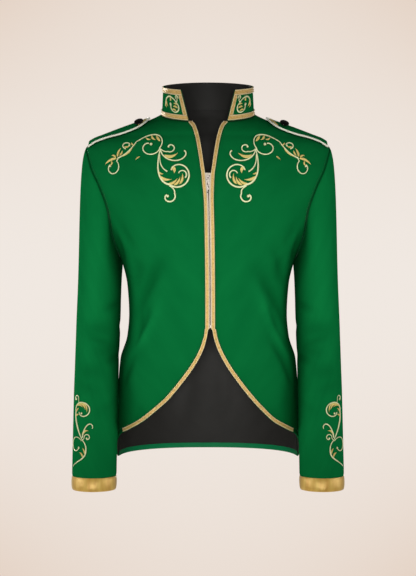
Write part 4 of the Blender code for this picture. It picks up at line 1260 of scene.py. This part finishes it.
def make_straps():
    """Epaulettes with their piping, sewn in at the armhole."""
    rows = np.array(STRAP_ROWS)
    front = smooth_points(rows[:, (0, 1)] * (1, -1), STRAP_STEPS)
    behind = smooth_points(rows[:, (0, 2)], STRAP_STEPS)
    shares = np.linspace(0, 1, STRAP_LINES)[None, :]
    x, across = (front[:, i:i + 1] * (1 - shares) + behind[:, i:i + 1] * shares for i in (0, 1))
    edge = np.abs(2 * shares - 1)
    top = STRAP_GAP + STRAP_THICK - STRAP_ROUND * edge ** 12 + STRAP_DOME * (1 - edge ** 2)
    outline = np.concatenate((front, behind[::-1]))
    along = unit(np.gradient(outline, axis=0))
    outline = outline - np.stack((along[:, 1], -along[:, 0]), -1) * (PIPING_RADIUS + SEAM)
    outline = smooth_points(outline, PIPING_STEPS)
    for side, name in SIDES:
        outer = strap_point(side, x, across, top)
        piece = shell("cloth_epaulette_" + name, outer, strap_point(side, x, across, STRAP_GAP),
                      ("green_cloth_painted_lighter",), "green_cloth")
        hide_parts("epaulette_" + name)
        declare_cut(piece, outer)
        route = strap_point(side, outline[:, 0], outline[:, 1], STRAP_GAP + PIPING_RADIUS + PIPING_LIFT)
        cord = tube("piping_epaulette_" + name, route, PIPING_RADIUS, "cream_cord", "cream_cord")
        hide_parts("epaulette_piping_" + name)


ZIP_STEPS = 260
TAPE_LINES = 7


def make_zip_tapes():
    behind = -(CLOTH + LAYER)
    shares = np.linspace(0, 1, TAPE_LINES)[None, :]
    for side, name in SIDES:
        places = even_places(front_edge(side), ZIP_STEPS)
        level = body_skin(pair(0, places[:, 1]))[:, 2]
        kept = (level > ZIP_BOTTOM + TAPE_END) & (level < ZIP_TOP + TAPE_END)
        places, level = places[kept], level[kept]
        reach = EDGE_GAP(level) - TAPE_GAP
        distance = side * (-reach[:, None] * (1 - shares) + TAPE_WIDTH * shares)
        tangents = np.broadcast_to((0.0, -1.0), (len(places), 1, 2))
        rows = beside(places[:, None], tangents, distance[..., None])
        outer, inner = body_point(rows, behind), body_point(rows, behind - TAPE_THICK)
        piece = shell("tape_zip_" + name, outer, inner, ("zip_tape",), "zip_tape")
        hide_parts("zip_tape_" + name)
        declare_cut(piece, outer)


def zip_place(level):
    """Places on the zip's line nearest to world heights."""
    level = np.asarray(level, float)
    low, high = np.full(level.shape, HEM_HEIGHT), np.full(level.shape, NECK_HEIGHT)
    for _ in range(HALVINGS):
        middle = (low + high) / 2
        under = body_skin(pair(0, middle))[..., 2] < level
        low, high = np.where(under, middle, low), np.where(under, high, middle)
    return pair(angle_at(LEAN(level), low), low)


def rods(name, grid, finish, slot, caps=False, sharp=SHARP_ANGLE):
    """One piece of many small rods: the grid gives the points of each rod, section and corner."""
    number = number_grid(grid.shape[:3])
    quads = [cells(rod) for rod in np.concatenate((number, number[..., :1]), -1)]
    if caps:
        quads += [number[:, 0], number[:, -1]]
    return mesh_piece(name, grid.reshape(-1, 3), np.concatenate(quads), (finish,), slot, sharp=sharp)


# A tooth's sections from its root to its nose: share of its length, width and height.
TOOTH_SECTIONS = ((0.0, 1.0, 0.75), (0.55, 1.0, 0.7), (0.72, 0.6, 0.6), (0.88, 1.0, 0.95), (1.0, 0.7, 0.6))
TOOTH_OUT = 0.8
TOOTH_BEHIND = 0.2
TOOTH_SHARP_ANGLE = 35.0


def make_teeth():
    """Interlocked zip teeth, turn by turn from the two tapes, in one piece for each side."""
    length, depth, height = TOOTH_SIZE
    levels = np.arange(TEETH_BOTTOM, TEETH_TOP, TOOTH_PITCH)
    along, wide, tall = np.array(TOOTH_SECTIONS).T[:, :, None, None]
    low_high, back_front = np.array(((-1, 1, 1, -1), (-1, -1, 1, 1)))[:, :, None]
    for side, name in SIDES:
        places = zip_place(levels + (0.0 if side > 0 else TOOTH_PITCH / 2))
        middle, normal = body_skin(places), body_normal(places)
        down = unit(np.gradient(middle, axis=0))
        outward = unit(np.cross(down, normal))
        outward *= np.sign(outward[:, :1]) * side
        root = middle + outward * length * TOOTH_OUT - normal * (CLOTH + TOOTH_BEHIND)
        root, outward, down, normal = (rows[:, None, None] for rows in (root, outward, down, normal))
        grid = (root - outward * length * along + down * low_high * height / 2 * tall
                + normal * back_front * depth / 2 * wide)
        rods("teeth_zip_" + name, grid, "zip_tooth_metal", "zip_metal", True, TOOTH_SHARP_ANGLE)


SPIRAL_TURN = 7
SPIRAL_LEAST = 8


def spiral(x, z, start_radius, end_radius, start_angle, end_angle, tall, hook):
    """Scroll round a point. Tall stretches it upwards, and hook holds its change of radius back."""
    steps = int(abs(end_angle - start_angle) / SPIRAL_TURN)
    t = np.linspace(0, 1, max(steps, SPIRAL_LEAST))
    turn = np.radians(start_angle + (end_angle - start_angle) * t)
    radius = start_radius + (end_radius - start_radius) * t ** hook
    return np.stack((x + radius * np.cos(turn), z + tall * radius * np.sin(turn)), -1)


def bend(numbers, steps):
    """Curve from its first point to its last, pulled towards those between them."""
    points = np.reshape(numbers, (-1, 2))
    last = len(points) - 1
    t = np.linspace(0, 1, steps)[:, None]
    return sum(math.comb(last, k) * point * t ** k * (1 - t) ** (last - k) for k, point in enumerate(points))


# Scrolls: x, z, start and end radius, start and end angle, tall, hook, start and end width.
# Stems: start point, two that pull, end point, start and end width.
# Leaves: start point, one that pulls, end point, width. Balls: middle and radius.

# Chest ornament: millimetres outward from the centre front, and up.
CHEST_SCROLLS = (
    (55, -123, 22, 13.5, -52, -322, 1.0, 4.0, 3.0, 2.0),
    (103, -71, 17, 8, 188, 432, 0.85, 2.5, 1.8, 2.2),
    (67.5, -73.5, 8, 4, 300, 20, 0.95, 2.0, 1.8, 2.2),
    (69, -161.5, 11, 4.5, 150, 400, 0.95, 2.2, 2.2, 2.6),
    (145, -67, 9, 3, -75, 215, 0.72, 1.6, 2.0, 1.6),
    (171, -106, 11, 6, 130, 395, 1.2, 3.0, 1.8, 1.8),
    (46, -122.5, 8, 6.5, 228, 18, 1.0, 1.6, 2.6, 1.6),
)
CHEST_STEMS = (
    (85, -75, 91, -98, 94, -135, 68.5, -140.4, 1.8, 3.2),
    (86, -86, 87, -104, 81, -112, 72, -117, 1.4, 2.4),
    (129, -61, 116, -53, 107, -47.5, 96, -47.8, 1.4, 2.2),
    (96, -47.8, 82, -48, 78, -62, 86.3, -73.4, 2.2, 1.7),
    (85, -75, 81, -79, 77, -81.5, 71.5, -80.2, 1.6, 1.8),
    (85, -76, 82, -94, 62, -101, 48, -95, 2.2, 2.2),
    (48, -95, 40, -91, 37, -84, 41, -79.5, 2.2, 2.0),
    (129, -61, 136, -72, 146, -84, 162, -90, 1.4, 2.2),
    (162, -90, 162, -92, 163, -94, 163.9, -95.9, 1.8, 1.8),
    (68, -143, 61, -147, 58, -151, 59.5, -156.3, 1.6, 2.2),
)
CHEST_LEAVES = (
    (78, -86, 68, -95, 53.5, -83, 5.2),
    (65, -109, 58, -111, 60, -120, 5.6),
    (88, -117, 84, -122, 79, -121, 2.8),
    (87, -124, 78, -134, 64, -131, 4.6),
    (73, -139, 61, -141, 54, -129, 4.4),
    (61, -141.5, 51, -138, 49.5, -126, 4.0),
    (51, -139.5, 43, -133, 45.5, -120.5, 3.8),
    (101, -49, 101, -56, 94, -58, 3.4),
    (93, -49.5, 89, -58, 85, -61, 4.0),
    (112, -53, 108, -59, 102, -56, 2.2),
    (136, -71, 144, -84, 161, -89.5, 3.8),
    (163, -88, 163, -79, 157, -72, 3.4),
    (159, -86, 154, -81, 154, -76, 2.6),
    (166, -90, 168, -83, 174, -85.5, 3.2),
    (164, -91, 175, -89, 186, -101.5, 4.0),
    (174, -95, 171, -101, 177, -104, 2.6),
    (138, -62, 136, -68, 131, -67, 2.4),
    (151, -69, 146, -72, 141, -68, 2.6),
    (122, -88.5, 126, -90, 130, -95, 1.8),
)
CHEST_BALLS = (
    (102, -66, 2.7), (71.5, -161, 2.7), (70.5, -71.5, 1.8),
    (41.5, -79.5, 1.6), (176, -104.5, 1.9), (142, -67, 1.5),
)

# Sleeve ornament: millimetres round from the sleeve's front towards its outer side, and up.
SLEEVE_SCROLLS = (
    (24, -541.6, 17, 8, -12, 322, 0.8, 5.0, 2.6, 2.2),
    (38.5, -521.5, 5.4, 3.5, 178, -80, 0.95, 2.0, 1.4, 1.8),
    (38, -604.5, 17.5, 8.5, 148, -150, 0.9, 1.2, 1.6, 2.0),
    (12, -589.3, 5.8, 3.4, -10, 285, 0.95, 2.0, 1.6, 1.8),
)
SLEEVE_STEMS = (
    (40.6, -544, 42, -556, 39.5, -562, 36.5, -568, 2.4, 4.0),
    (36.5, -568, 33, -577, 27, -586, 21.5, -594.5, 4.0, 1.4),
    (21.5, -590, 20, -573, 9, -562, 3.5, -566.5, 3.0, 1.9),
    (3.5, -566.5, 0.5, -569, 0.6, -572, 2.2, -573.5, 1.9, 1.6),
    (21.5, -595, 19.5, -593, 18.3, -591.5, 17.7, -589.5, 1.6, 1.6),
    (21.5, -595, 12.5, -602, 10, -618, 20, -625.5, 1.8, 3.2),
    (20, -625.5, 27, -631, 38, -635, 49, -642, 3.2, 1.2),
    (31, -529.5, 32.5, -526.5, 33.2, -524, 33.1, -521.5, 1.4, 1.4),
)
SLEEVE_LEAVES = (
    (39, -535, 31, -529.5, 22, -536.5, 4.0),
    (32, -530, 19, -529.5, 16, -541, 4.2),
    (23, -529.5, 11, -532, 13.5, -545.5, 3.6),
    (40, -546, 37, -540, 32, -538.5, 2.8),
    (40.5, -554, 37, -549, 31.5, -549.5, 3.2),
    (22, -586, 19, -576, 9.5, -577.5, 4.6),
    (15, -620.5, 16, -612, 21.5, -608.5, 3.8),
    (20, -625, 21.5, -617, 28.5, -616.5, 3.8),
)
SLEEVE_BALLS = (
    (24.8, -547.5, 2.1), (40.8, -522.8, 1.8),
    (12.5, -591, 1.8), (30.8, -608.5, 2.2),
)

# Collar ornament: millimetres round the collar from its front end, and up it.
COLLAR_SCROLLS = (
    (23, 22, 10.5, 7.5, 125, 378, 0.95, 2.0, 1.9, 1.9),
    (12.5, 38.5, 3.4, 2.2, -70, 230, 1.0, 2.0, 1.4, 1.4),
)
COLLAR_STEMS = (
    (49, 21, 46, 34, 38, 39.5, 30, 38.5, 1.4, 2.8),
    (30, 38.5, 24, 37.5, 19, 34, 17, 30.3, 2.8, 1.7),
    (17, 31, 14, 31.5, 12.5, 33, 13.2, 35.2, 1.6, 1.4),
)
COLLAR_LEAVES = (
    (45, 32, 45, 26, 40, 21, 3.4),
    (47.5, 27, 48, 22, 45, 18, 2.4),
    (30, 37, 28, 33, 31.5, 31, 2.8),
    (14.5, 26, 18, 29, 23, 27, 3.0),
    (15, 20, 20, 24.5, 25.5, 21.5, 3.2),
    (19, 15, 24.5, 19, 29, 16.5, 2.8),
)
COLLAR_BALLS = (
    (31, 25.5, 2.8), (12.5, 39, 1.3),
)

# Epaulette ornament: millimetres out from the middle of the neck, and behind the shoulder's ridge.
STRAP_LEAVES = (
    (123.5, -35, 118, -25, 111.5, -7, 6.5),
    (126.5, -39.5, 121, -34, 116, -25, 3.6),
    (121, -28, 117, -14, 113, -3, 4.0),
)

STITCH_RISE = 1.2
STITCH_LIFT = 0.12
STITCH_SPREAD = 1.14
SLEEVE_STITCH_SPREAD = 0.9
FULL_WIDTH = 2.2
ACROSS_STEPS = 9
STEM_STEPS = 26
LEAF_STEPS = 18
LEAF_VEIN = 0.55
LEAF_TIP = 0.25
VEIN_WIDTH = 0.28
BALL_STEPS = 18
BALL_SHARES = (0.02, 0.35, 0.65, 0.88, 1.0)
BALL_DOME = 0.5
SURFACE_ROUNDS = 8


class Embroidery:
    """Raised satin stitch on one side: a surface maps flat points and distances out to space."""

    def __init__(self, surface, side, spread):
        self.surface = surface
        self.side = side
        self.spread = spread
        self.parts = []
        self.count = 0

    def add(self, flat, height, coordinates, pick):
        """Adds a grid of stitches with the finish of a number: 0 for lines, 1 for leaves."""
        grid = self.surface(self.side, flat, height)
        quads = cells(number_grid(grid.shape[:2]))
        points = grid.reshape(-1, 3)
        self.parts.append((points, quads + self.count, coordinates.reshape(-1, 2)[quads.ravel()],
                           np.full(len(quads), pick)))
        self.count += len(points)

    def line(self, path, widths, pick=0, vein=0.0):
        """Band of stitches along a flat path, rounded across, with a groove if it has a vein."""
        widths = widths * self.spread
        tangents = unit(np.gradient(path, axis=0))
        sideways = np.stack((-tangents[:, 1], tangents[:, 0]), -1)
        across = np.linspace(-1, 1, ACROSS_STEPS)
        flat = path[:, None] + sideways[:, None] * across[:, None] * widths[:, None, None] / 2
        dome = np.sqrt(np.maximum(1 - across ** 2, 0)) * (1 - vein * np.exp(-(across / VEIN_WIDTH) ** 2))
        height = STITCH_LIFT + STITCH_RISE * np.minimum(widths[:, None] / FULL_WIDTH, 1.0) * dome[None]
        self.add(flat, height, pair(run_lengths(path)[:, None], across[None]), pick)

    def ball(self, x, z, radius):
        """Small padded dot, worked as a closed round of stitches."""
        turns = np.linspace(0, 2 * np.pi, BALL_STEPS + 1)
        shares = np.array(BALL_SHARES)
        ring = np.stack((np.cos(turns), np.sin(turns)), -1)
        flat = np.array((x, z)) + ring[:, None] * shares[:, None] * radius
        dome = np.sqrt(1 - np.minimum(shares, 0.999) ** 2)
        height = np.broadcast_to(STITCH_LIFT + BALL_DOME * radius * dome, flat.shape[:2])
        self.add(flat, height, pair(turns[:, None] * radius, shares[None]), 0)

    def leaf(self, path, width):
        """Pointed leaf along a flat path, fullest before its middle."""
        t = np.linspace(0, 1, len(path))
        widths = width * np.sin(np.pi * t ** 0.75) ** 0.9
        self.line(path, np.maximum(widths, LEAF_TIP), pick=1, vein=LEAF_VEIN)

    def work(self, scrolls, stems, leaves, balls):
        """Works the lines of the four tables."""
        for row in leaves:
            self.leaf(bend(row[:6], LEAF_STEPS), row[-1])
        lines = [(spiral(*row[:8]), row[8:]) for row in scrolls]
        lines += [(bend(row[:8], STEM_STEPS), row[8:]) for row in stems]
        for path, widths in lines:
            self.line(path, np.linspace(*widths, len(path)))
        for row in balls:
            self.ball(*row)

    def finish(self, name):
        points, quads, coordinates, picks = (np.concatenate(part) for part in zip(*self.parts))
        mesh_piece(name, points, quads, ("line_thread", "leaf_thread"), "gold_braid", coordinates, picks)


def chest_surface(side, flat, out):
    """Maps millimetres outward and up, as seen from the front, to the front panel."""
    x, z = flat[..., 0] * side, flat[..., 1]
    height = z.copy()
    for _ in range(SURFACE_ROUNDS):
        skin = body_skin(pair(angle_at(x, height), height))
        height = z - BODY["slope"](height) * skin[..., 1]
    return body_point(pair(angle_at(x, height), height), out)


SLEEVE_MM_PER_DEGREE = 0.75


def sleeve_surface(side, flat, out):
    return sleeve_skin(side, 90 - flat[..., 0] / SLEEVE_MM_PER_DEGREE, flat[..., 1], out)


def collar_surface(side, flat, out):
    u = flat[..., 0] / COLLAR_LENGTH
    return collar_point(u if side > 0 else 1 - u, flat[..., 1] / COLLAR_HEIGHT, out)


def strap_surface(side, flat, out):
    return strap_point(side, flat[..., 0], flat[..., 1], STRAP_GAP + STRAP_THICK + STRAP_DOME + out)


# Each ornament's name, surface and spread, with its scrolls, stems, leaves and balls.
ORNAMENTS = (
    ("chest", chest_surface, STITCH_SPREAD, CHEST_SCROLLS, CHEST_STEMS, CHEST_LEAVES, CHEST_BALLS),
    ("sleeve", sleeve_surface, SLEEVE_STITCH_SPREAD,
     SLEEVE_SCROLLS, SLEEVE_STEMS, SLEEVE_LEAVES, SLEEVE_BALLS),
    ("collar", collar_surface, STITCH_SPREAD, COLLAR_SCROLLS, COLLAR_STEMS, COLLAR_LEAVES, COLLAR_BALLS),
    ("epaulette", strap_surface, STITCH_SPREAD, (), (), STRAP_LEAVES, ()),
)


def make_embroidery():
    for side, side_name in SIDES:
        for name, surface, spread, *tables in ORNAMENTS:
            ornament = Embroidery(surface, side, spread)
            ornament.work(*tables)
            ornament.finish(f"embroidery_{name}_{side_name}")


STITCH_PITCH = 3.0
STITCH_LENGTH = 2.2
STITCH_WIDTH = 0.5
STITCH_OUT = 0.1
# A stitch's outline: share of its length against share of its width.
STITCH_SECTIONS = ((-1.0, 0.15), (-0.6, 0.9), (0.6, 0.9), (1.0, 0.15))
TOPSTITCH_AWAY = 5.0
TRIM_STITCH_AWAY = 1.6
STITCH_ROUNDS = 10
# Steps along a path, and which of its places carry stitches.
EDGE_STITCHES = (300, slice(6, None))
HEM_STITCHES = (200, slice(None))
SHOULDER_STITCHES = (60, slice(3, None))
ARMHOLE_STITCHES = (160, slice(8, -4))


def stitch_row(name, row):
    """Short stitches along places on the body, lying on the cloth."""
    points = body_point(row, STITCH_OUT)
    lengths = run_lengths(points)
    marks = np.arange(STITCH_PITCH / 2, lengths[-1], STITCH_PITCH)
    spots = at_lengths(marks, lengths, points)
    up = unit(at_lengths(marks, lengths, body_normal(row)))
    ahead = unit(np.gradient(spots, axis=0))
    sideways = unit(np.cross(up, ahead))
    spots, up, ahead, sideways = (rows[:, None, None] for rows in (spots, up, ahead, sideways))
    along, wide = np.array(STITCH_SECTIONS).T[:, :, None, None]
    turns = np.radians((0, 60, 120, 180, 240, 300))[:, None]
    ring = np.cos(turns) * sideways + np.sin(turns) * up
    grid = spots + along * STITCH_LENGTH / 2 * ahead + wide * STITCH_WIDTH / 2 * ring
    rods(name, grid, "green_stitch", "green_cloth")


def seam_row(path, steps, kept, turn):
    """Places at the topstitch's distance beside a seam's path, to its left where turn is 1."""
    seam = even_places(path, steps)
    return beside(seam, np.gradient(seam, axis=0), turn * TOPSTITCH_AWAY)[kept]


def make_stitches():
    """Topstitching beside the braid, along the shoulders and round the armholes."""
    for side, name in SIDES:
        edge, hem = (even_places(path, steps)[kept] for path, (steps, kept) in (
            (front_edge(side), EDGE_STITCHES), (cutaway_edge(side), HEM_STITCHES)))
        path, tangents = front_line(edge, hem, STITCH_ROUNDS)
        stitch_row("stitches_front_" + name, beside(path, tangents, side * (TRIM_WIDTH + TRIM_STITCH_AWAY)))
        stitch_row("stitches_shoulder_" + name, seam_row(shoulder_seam(side), *SHOULDER_STITCHES, -side))
        for facing, where in ((-1, "front"), (1, "back")):
            row = seam_row(armhole(side, facing), *ARMHOLE_STITCHES, side * facing)
            stitch_row(f"stitches_armhole_{where}_{name}", row)


def flat_axis(points):
    """Axis of a flat round solid, pointing up."""
    axis = np.linalg.svd(points - points.mean(0), full_matrices=False)[2][2]
    return -axis if axis[2] < 0 else axis


# The button's section from the middle of its dome to its back: radius against height above its rim.
BUTTON_SECTION = (
    (0.02, 2.15), (1.2, 2.10), (2.4, 1.92), (3.6, 1.62), (4.6, 1.22), (5.3, 0.85), (5.7, 0.45),
    (6.1, 0.40), (6.6, 0.80), (7.2, 1.18), (7.9, 1.22), (8.5, 0.85), (8.8, 0.10), (8.6, -0.60),
    (7.8, -1.30), (5.0, -2.40), (2.0, -2.45), (2.0, -3.90), (0.02, -3.90),
)
BUTTON_STEPS = 64
RIM_CORNERS = 20
BEAD_RADIUS = 0.42
BEAD_RING = 6.35
BEAD_HEIGHT = 0.55
BEADS = 36


def make_buttons():
    """Domed black buttons with a bead ring, on the axes of the CAD buttons."""
    section = np.array(BUTTON_SECTION)
    turns = 2 * np.pi * np.arange(BUTTON_STEPS + 1)[:, None] / BUTTON_STEPS
    for _, name in SIDES:
        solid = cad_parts["button_" + name]
        corners = np.array([vertex.co for vertex in solid.data.vertices]) / MM
        axis = flat_axis(corners)
        reach = corners @ axis
        from_axis = np.linalg.norm(np.cross(corners - corners.mean(0), axis), axis=-1)
        middle = corners[np.argsort(-from_axis)[:RIM_CORNERS]].mean(0)
        first = unit(np.cross(axis, (1.0, 0.0, 0.0)))
        second = np.cross(axis, first)
        around = first * np.cos(turns) + second * np.sin(turns)
        lift = reach.max() - middle @ axis - section[0, 1]
        grid = middle + around[:, None] * section[:, :1] + axis * (section[:, 1:] + lift)
        number = number_grid(grid.shape[:2])
        piece = mesh_piece("button_black_" + name, grid.reshape(-1, 3), cells(joined_up(number.T)),
                           ("black_button",), "black_button")
        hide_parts("button_" + name)
        make_beads(name, middle + axis * (lift + BEAD_HEIGHT), first, second)


def make_beads(name, middle, first, second):
    """Ring of small beads in the button's groove."""
    mesh = bmesh.new()
    for k in range(BEADS):
        turn = 2 * math.pi * k / BEADS
        spot = middle + BEAD_RING * (first * math.cos(turn) + second * math.sin(turn))
        place = Matrix.Translation(Vector(spot) * MM)
        bmesh.ops.create_icosphere(mesh, subdivisions=2, radius=BEAD_RADIUS * MM, matrix=place)
    data = bpy.data.meshes.new("button_beads_" + name)
    mesh.to_mesh(data)
    mesh.free()
    data.shade_smooth()
    data.materials.append(FINISHES["black_button"])
    made = new_object("button_beads_" + name, data)
    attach(made, BODY_NAME)


def finish_metal():
    """Gives the zip's solids, which stay as they are, the worn metal."""
    for name, finish in (
        ("zip_slider", "zip_metal"), ("zip_stop", "zip_metal"), ("zip_pull", "zip_pull_metal"),
    ):
        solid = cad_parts[name]
        for slot in solid.material_slots:
            slot.material = FINISHES[finish]


def make_camera():
    data = bpy.data.cameras.new("camera")
    made = new_object("camera", data)
    made.location = (0, -CAMERA_DISTANCE * MM, CAMERA_HEIGHT * MM)
    made.rotation_euler = (math.radians(90), 0, 0)
    data.sensor_width = SENSOR
    data.lens = SENSOR * CAMERA_DISTANCE / (PHOTO_SIZE[1] * MM_PER_PIXEL)
    data.dof.use_dof = False
    bpy.context.scene.camera = made


# Surroundings, and a floor whose height and radius are in metres.
BACKGROUND_MIDDLE = (0.871, 0.807, 0.753)
BACKGROUND_CORNER = (0.775, 0.644, 0.552)
BACKGROUND_ACROSS = 6.54
BACKGROUND_UP = 4.72
FLOOR_HEIGHT = -1.45
FLOOR_RADIUS = 2.3
FLOOR_STEPS = 96
FLOOR_GLOW = 0.85
WORLD_COLOUR = (1.0, 0.96, 0.92, 1.0)
WORLD_STRENGTH = 0.12


def camera_ray(tree):
    return node(tree, "ShaderNodeLightPath").outputs["Is Camera Ray"]


def show(tree, output, share, usual, seen):
    """Sends a mix of two shaders to an output node."""
    chosen = node(tree, "ShaderNodeMixShader", {0: share, 1: usual.outputs[0], 2: seen.outputs[0]})
    tree.links.new(chosen.outputs[0], tree.nodes[output].inputs["Surface"])


def make_world():
    """Pale warm surroundings, palest at mid height, that light the jacket a little from all sides."""
    world = bpy.data.worlds.new("studio")
    world.use_nodes = True
    tree = world.node_tree
    light = tree.nodes["Background"]
    light.inputs["Color"].default_value = WORLD_COLOUR
    light.inputs["Strength"].default_value = WORLD_STRENGTH
    direction = node(tree, "ShaderNodeTexCoord").outputs["Generated"]
    parts = node(tree, "ShaderNodeSeparateXYZ", {"Vector": direction})

    def off_middle(part, scale):
        """Square of the distance from the middle of the view, up to 1."""
        away = math_node(tree, "ABSOLUTE", math_node(tree, "MULTIPLY", part, scale))
        return math_node(tree, "POWER", math_node(tree, "MINIMUM", away, 1.0), 2.0)

    across, up = off_middle(parts.outputs[0], BACKGROUND_ACROSS), off_middle(parts.outputs[2], BACKGROUND_UP)
    fade = math_node(tree, "MULTIPLY", up, math_node(tree, "MULTIPLY_ADD", across, 0.5, 0.5))
    colour = mix_colours(tree, fade, BACKGROUND_MIDDLE, BACKGROUND_CORNER)
    seen = node(tree, "ShaderNodeBackground", {"Color": colour, "Strength": 1.0})
    show(tree, "World Output", camera_ray(tree), light, seen)
    bpy.context.scene.world = world


def make_floor():
    """Round pale floor, below the photograph's frame."""
    made, tree, shader = principled("floor", Roughness=0.8, Specular_IOR_Level=0.0)
    tint(tree, shader, object_noise(tree, 6.0, 4.0), *COLOURS["floor"])
    glow = node(tree, "ShaderNodeEmission", {"Color": rgba(BACKGROUND_CORNER)})
    show(tree, "Material Output", math_node(tree, "MULTIPLY", camera_ray(tree), FLOOR_GLOW), shader, glow)
    bpy.ops.mesh.primitive_circle_add(vertices=FLOOR_STEPS, radius=FLOOR_RADIUS, fill_type="NGON",
                                      location=(0, 0, FLOOR_HEIGHT))
    floor = bpy.context.object
    floor.name = "floor"
    floor.data.materials.append(made)


# Lamps: name, kind, place, x and z of the target in metres, size, power, and a spot's cone.
LAMPS = (
    ("key", "SPOT", -0.4, -2.9, -0.7, 0.0, -0.42, 0.2, 112.0, 21.0),
    ("front", "SPOT", 0.05, -2.7, -0.36, 0.0, -0.25, 0.2, 155.0, 22.0),
    ("side_left", "AREA", -2.4, -0.6, -0.3, -0.2, -0.3, 1.0, 17.0, 0.0),
    ("side_right", "AREA", 2.4, -0.6, -0.3, 0.2, -0.3, 1.0, 15.0, 0.0),
    ("back_left", "AREA", 1.0, 2.6, -0.2, 0.0, -0.3, 1.0, 16.0, 0.0),
    ("back_right", "AREA", -1.7, 2.2, 0.5, 0.0, -0.3, 0.6, 36.0, 0.0),
)
LAMP_COLOUR = (1.0, 0.985, 0.96)


def make_lights():
    for name, kind, x, y, z, target_x, target_z, size, power, cone in LAMPS:
        data = bpy.data.lights.new(name, kind)
        data.energy = power
        data.color = LAMP_COLOUR
        if kind == "SPOT":
            data.shadow_soft_size = size
            data.spot_size = math.radians(cone)
            data.spot_blend = 1.0
        else:
            data.shape = "SQUARE"
            data.size = size
        made = new_object(name, data)
        made.location = (x, y, z)
        made.visible_camera = False
        target = Vector((target_x, 0.0, target_z))
        made.rotation_euler = (target - made.location).to_track_quat("-Z", "Y").to_euler()


def set_view():
    bpy.context.scene.view_settings.view_transform = "Standard"
    bpy.context.scene.view_settings.look = "None"


def main():
    make_camera()
    make_world()
    make_floor()
    make_lights()
    set_view()
    make_fronts()
    make_back()
    make_sleeves()
    make_collar()
    make_front_trims()
    make_straps()
    make_buttons()
    make_zip_tapes()
    make_teeth()
    make_embroidery()
    make_stitches()
    finish_metal()


main()
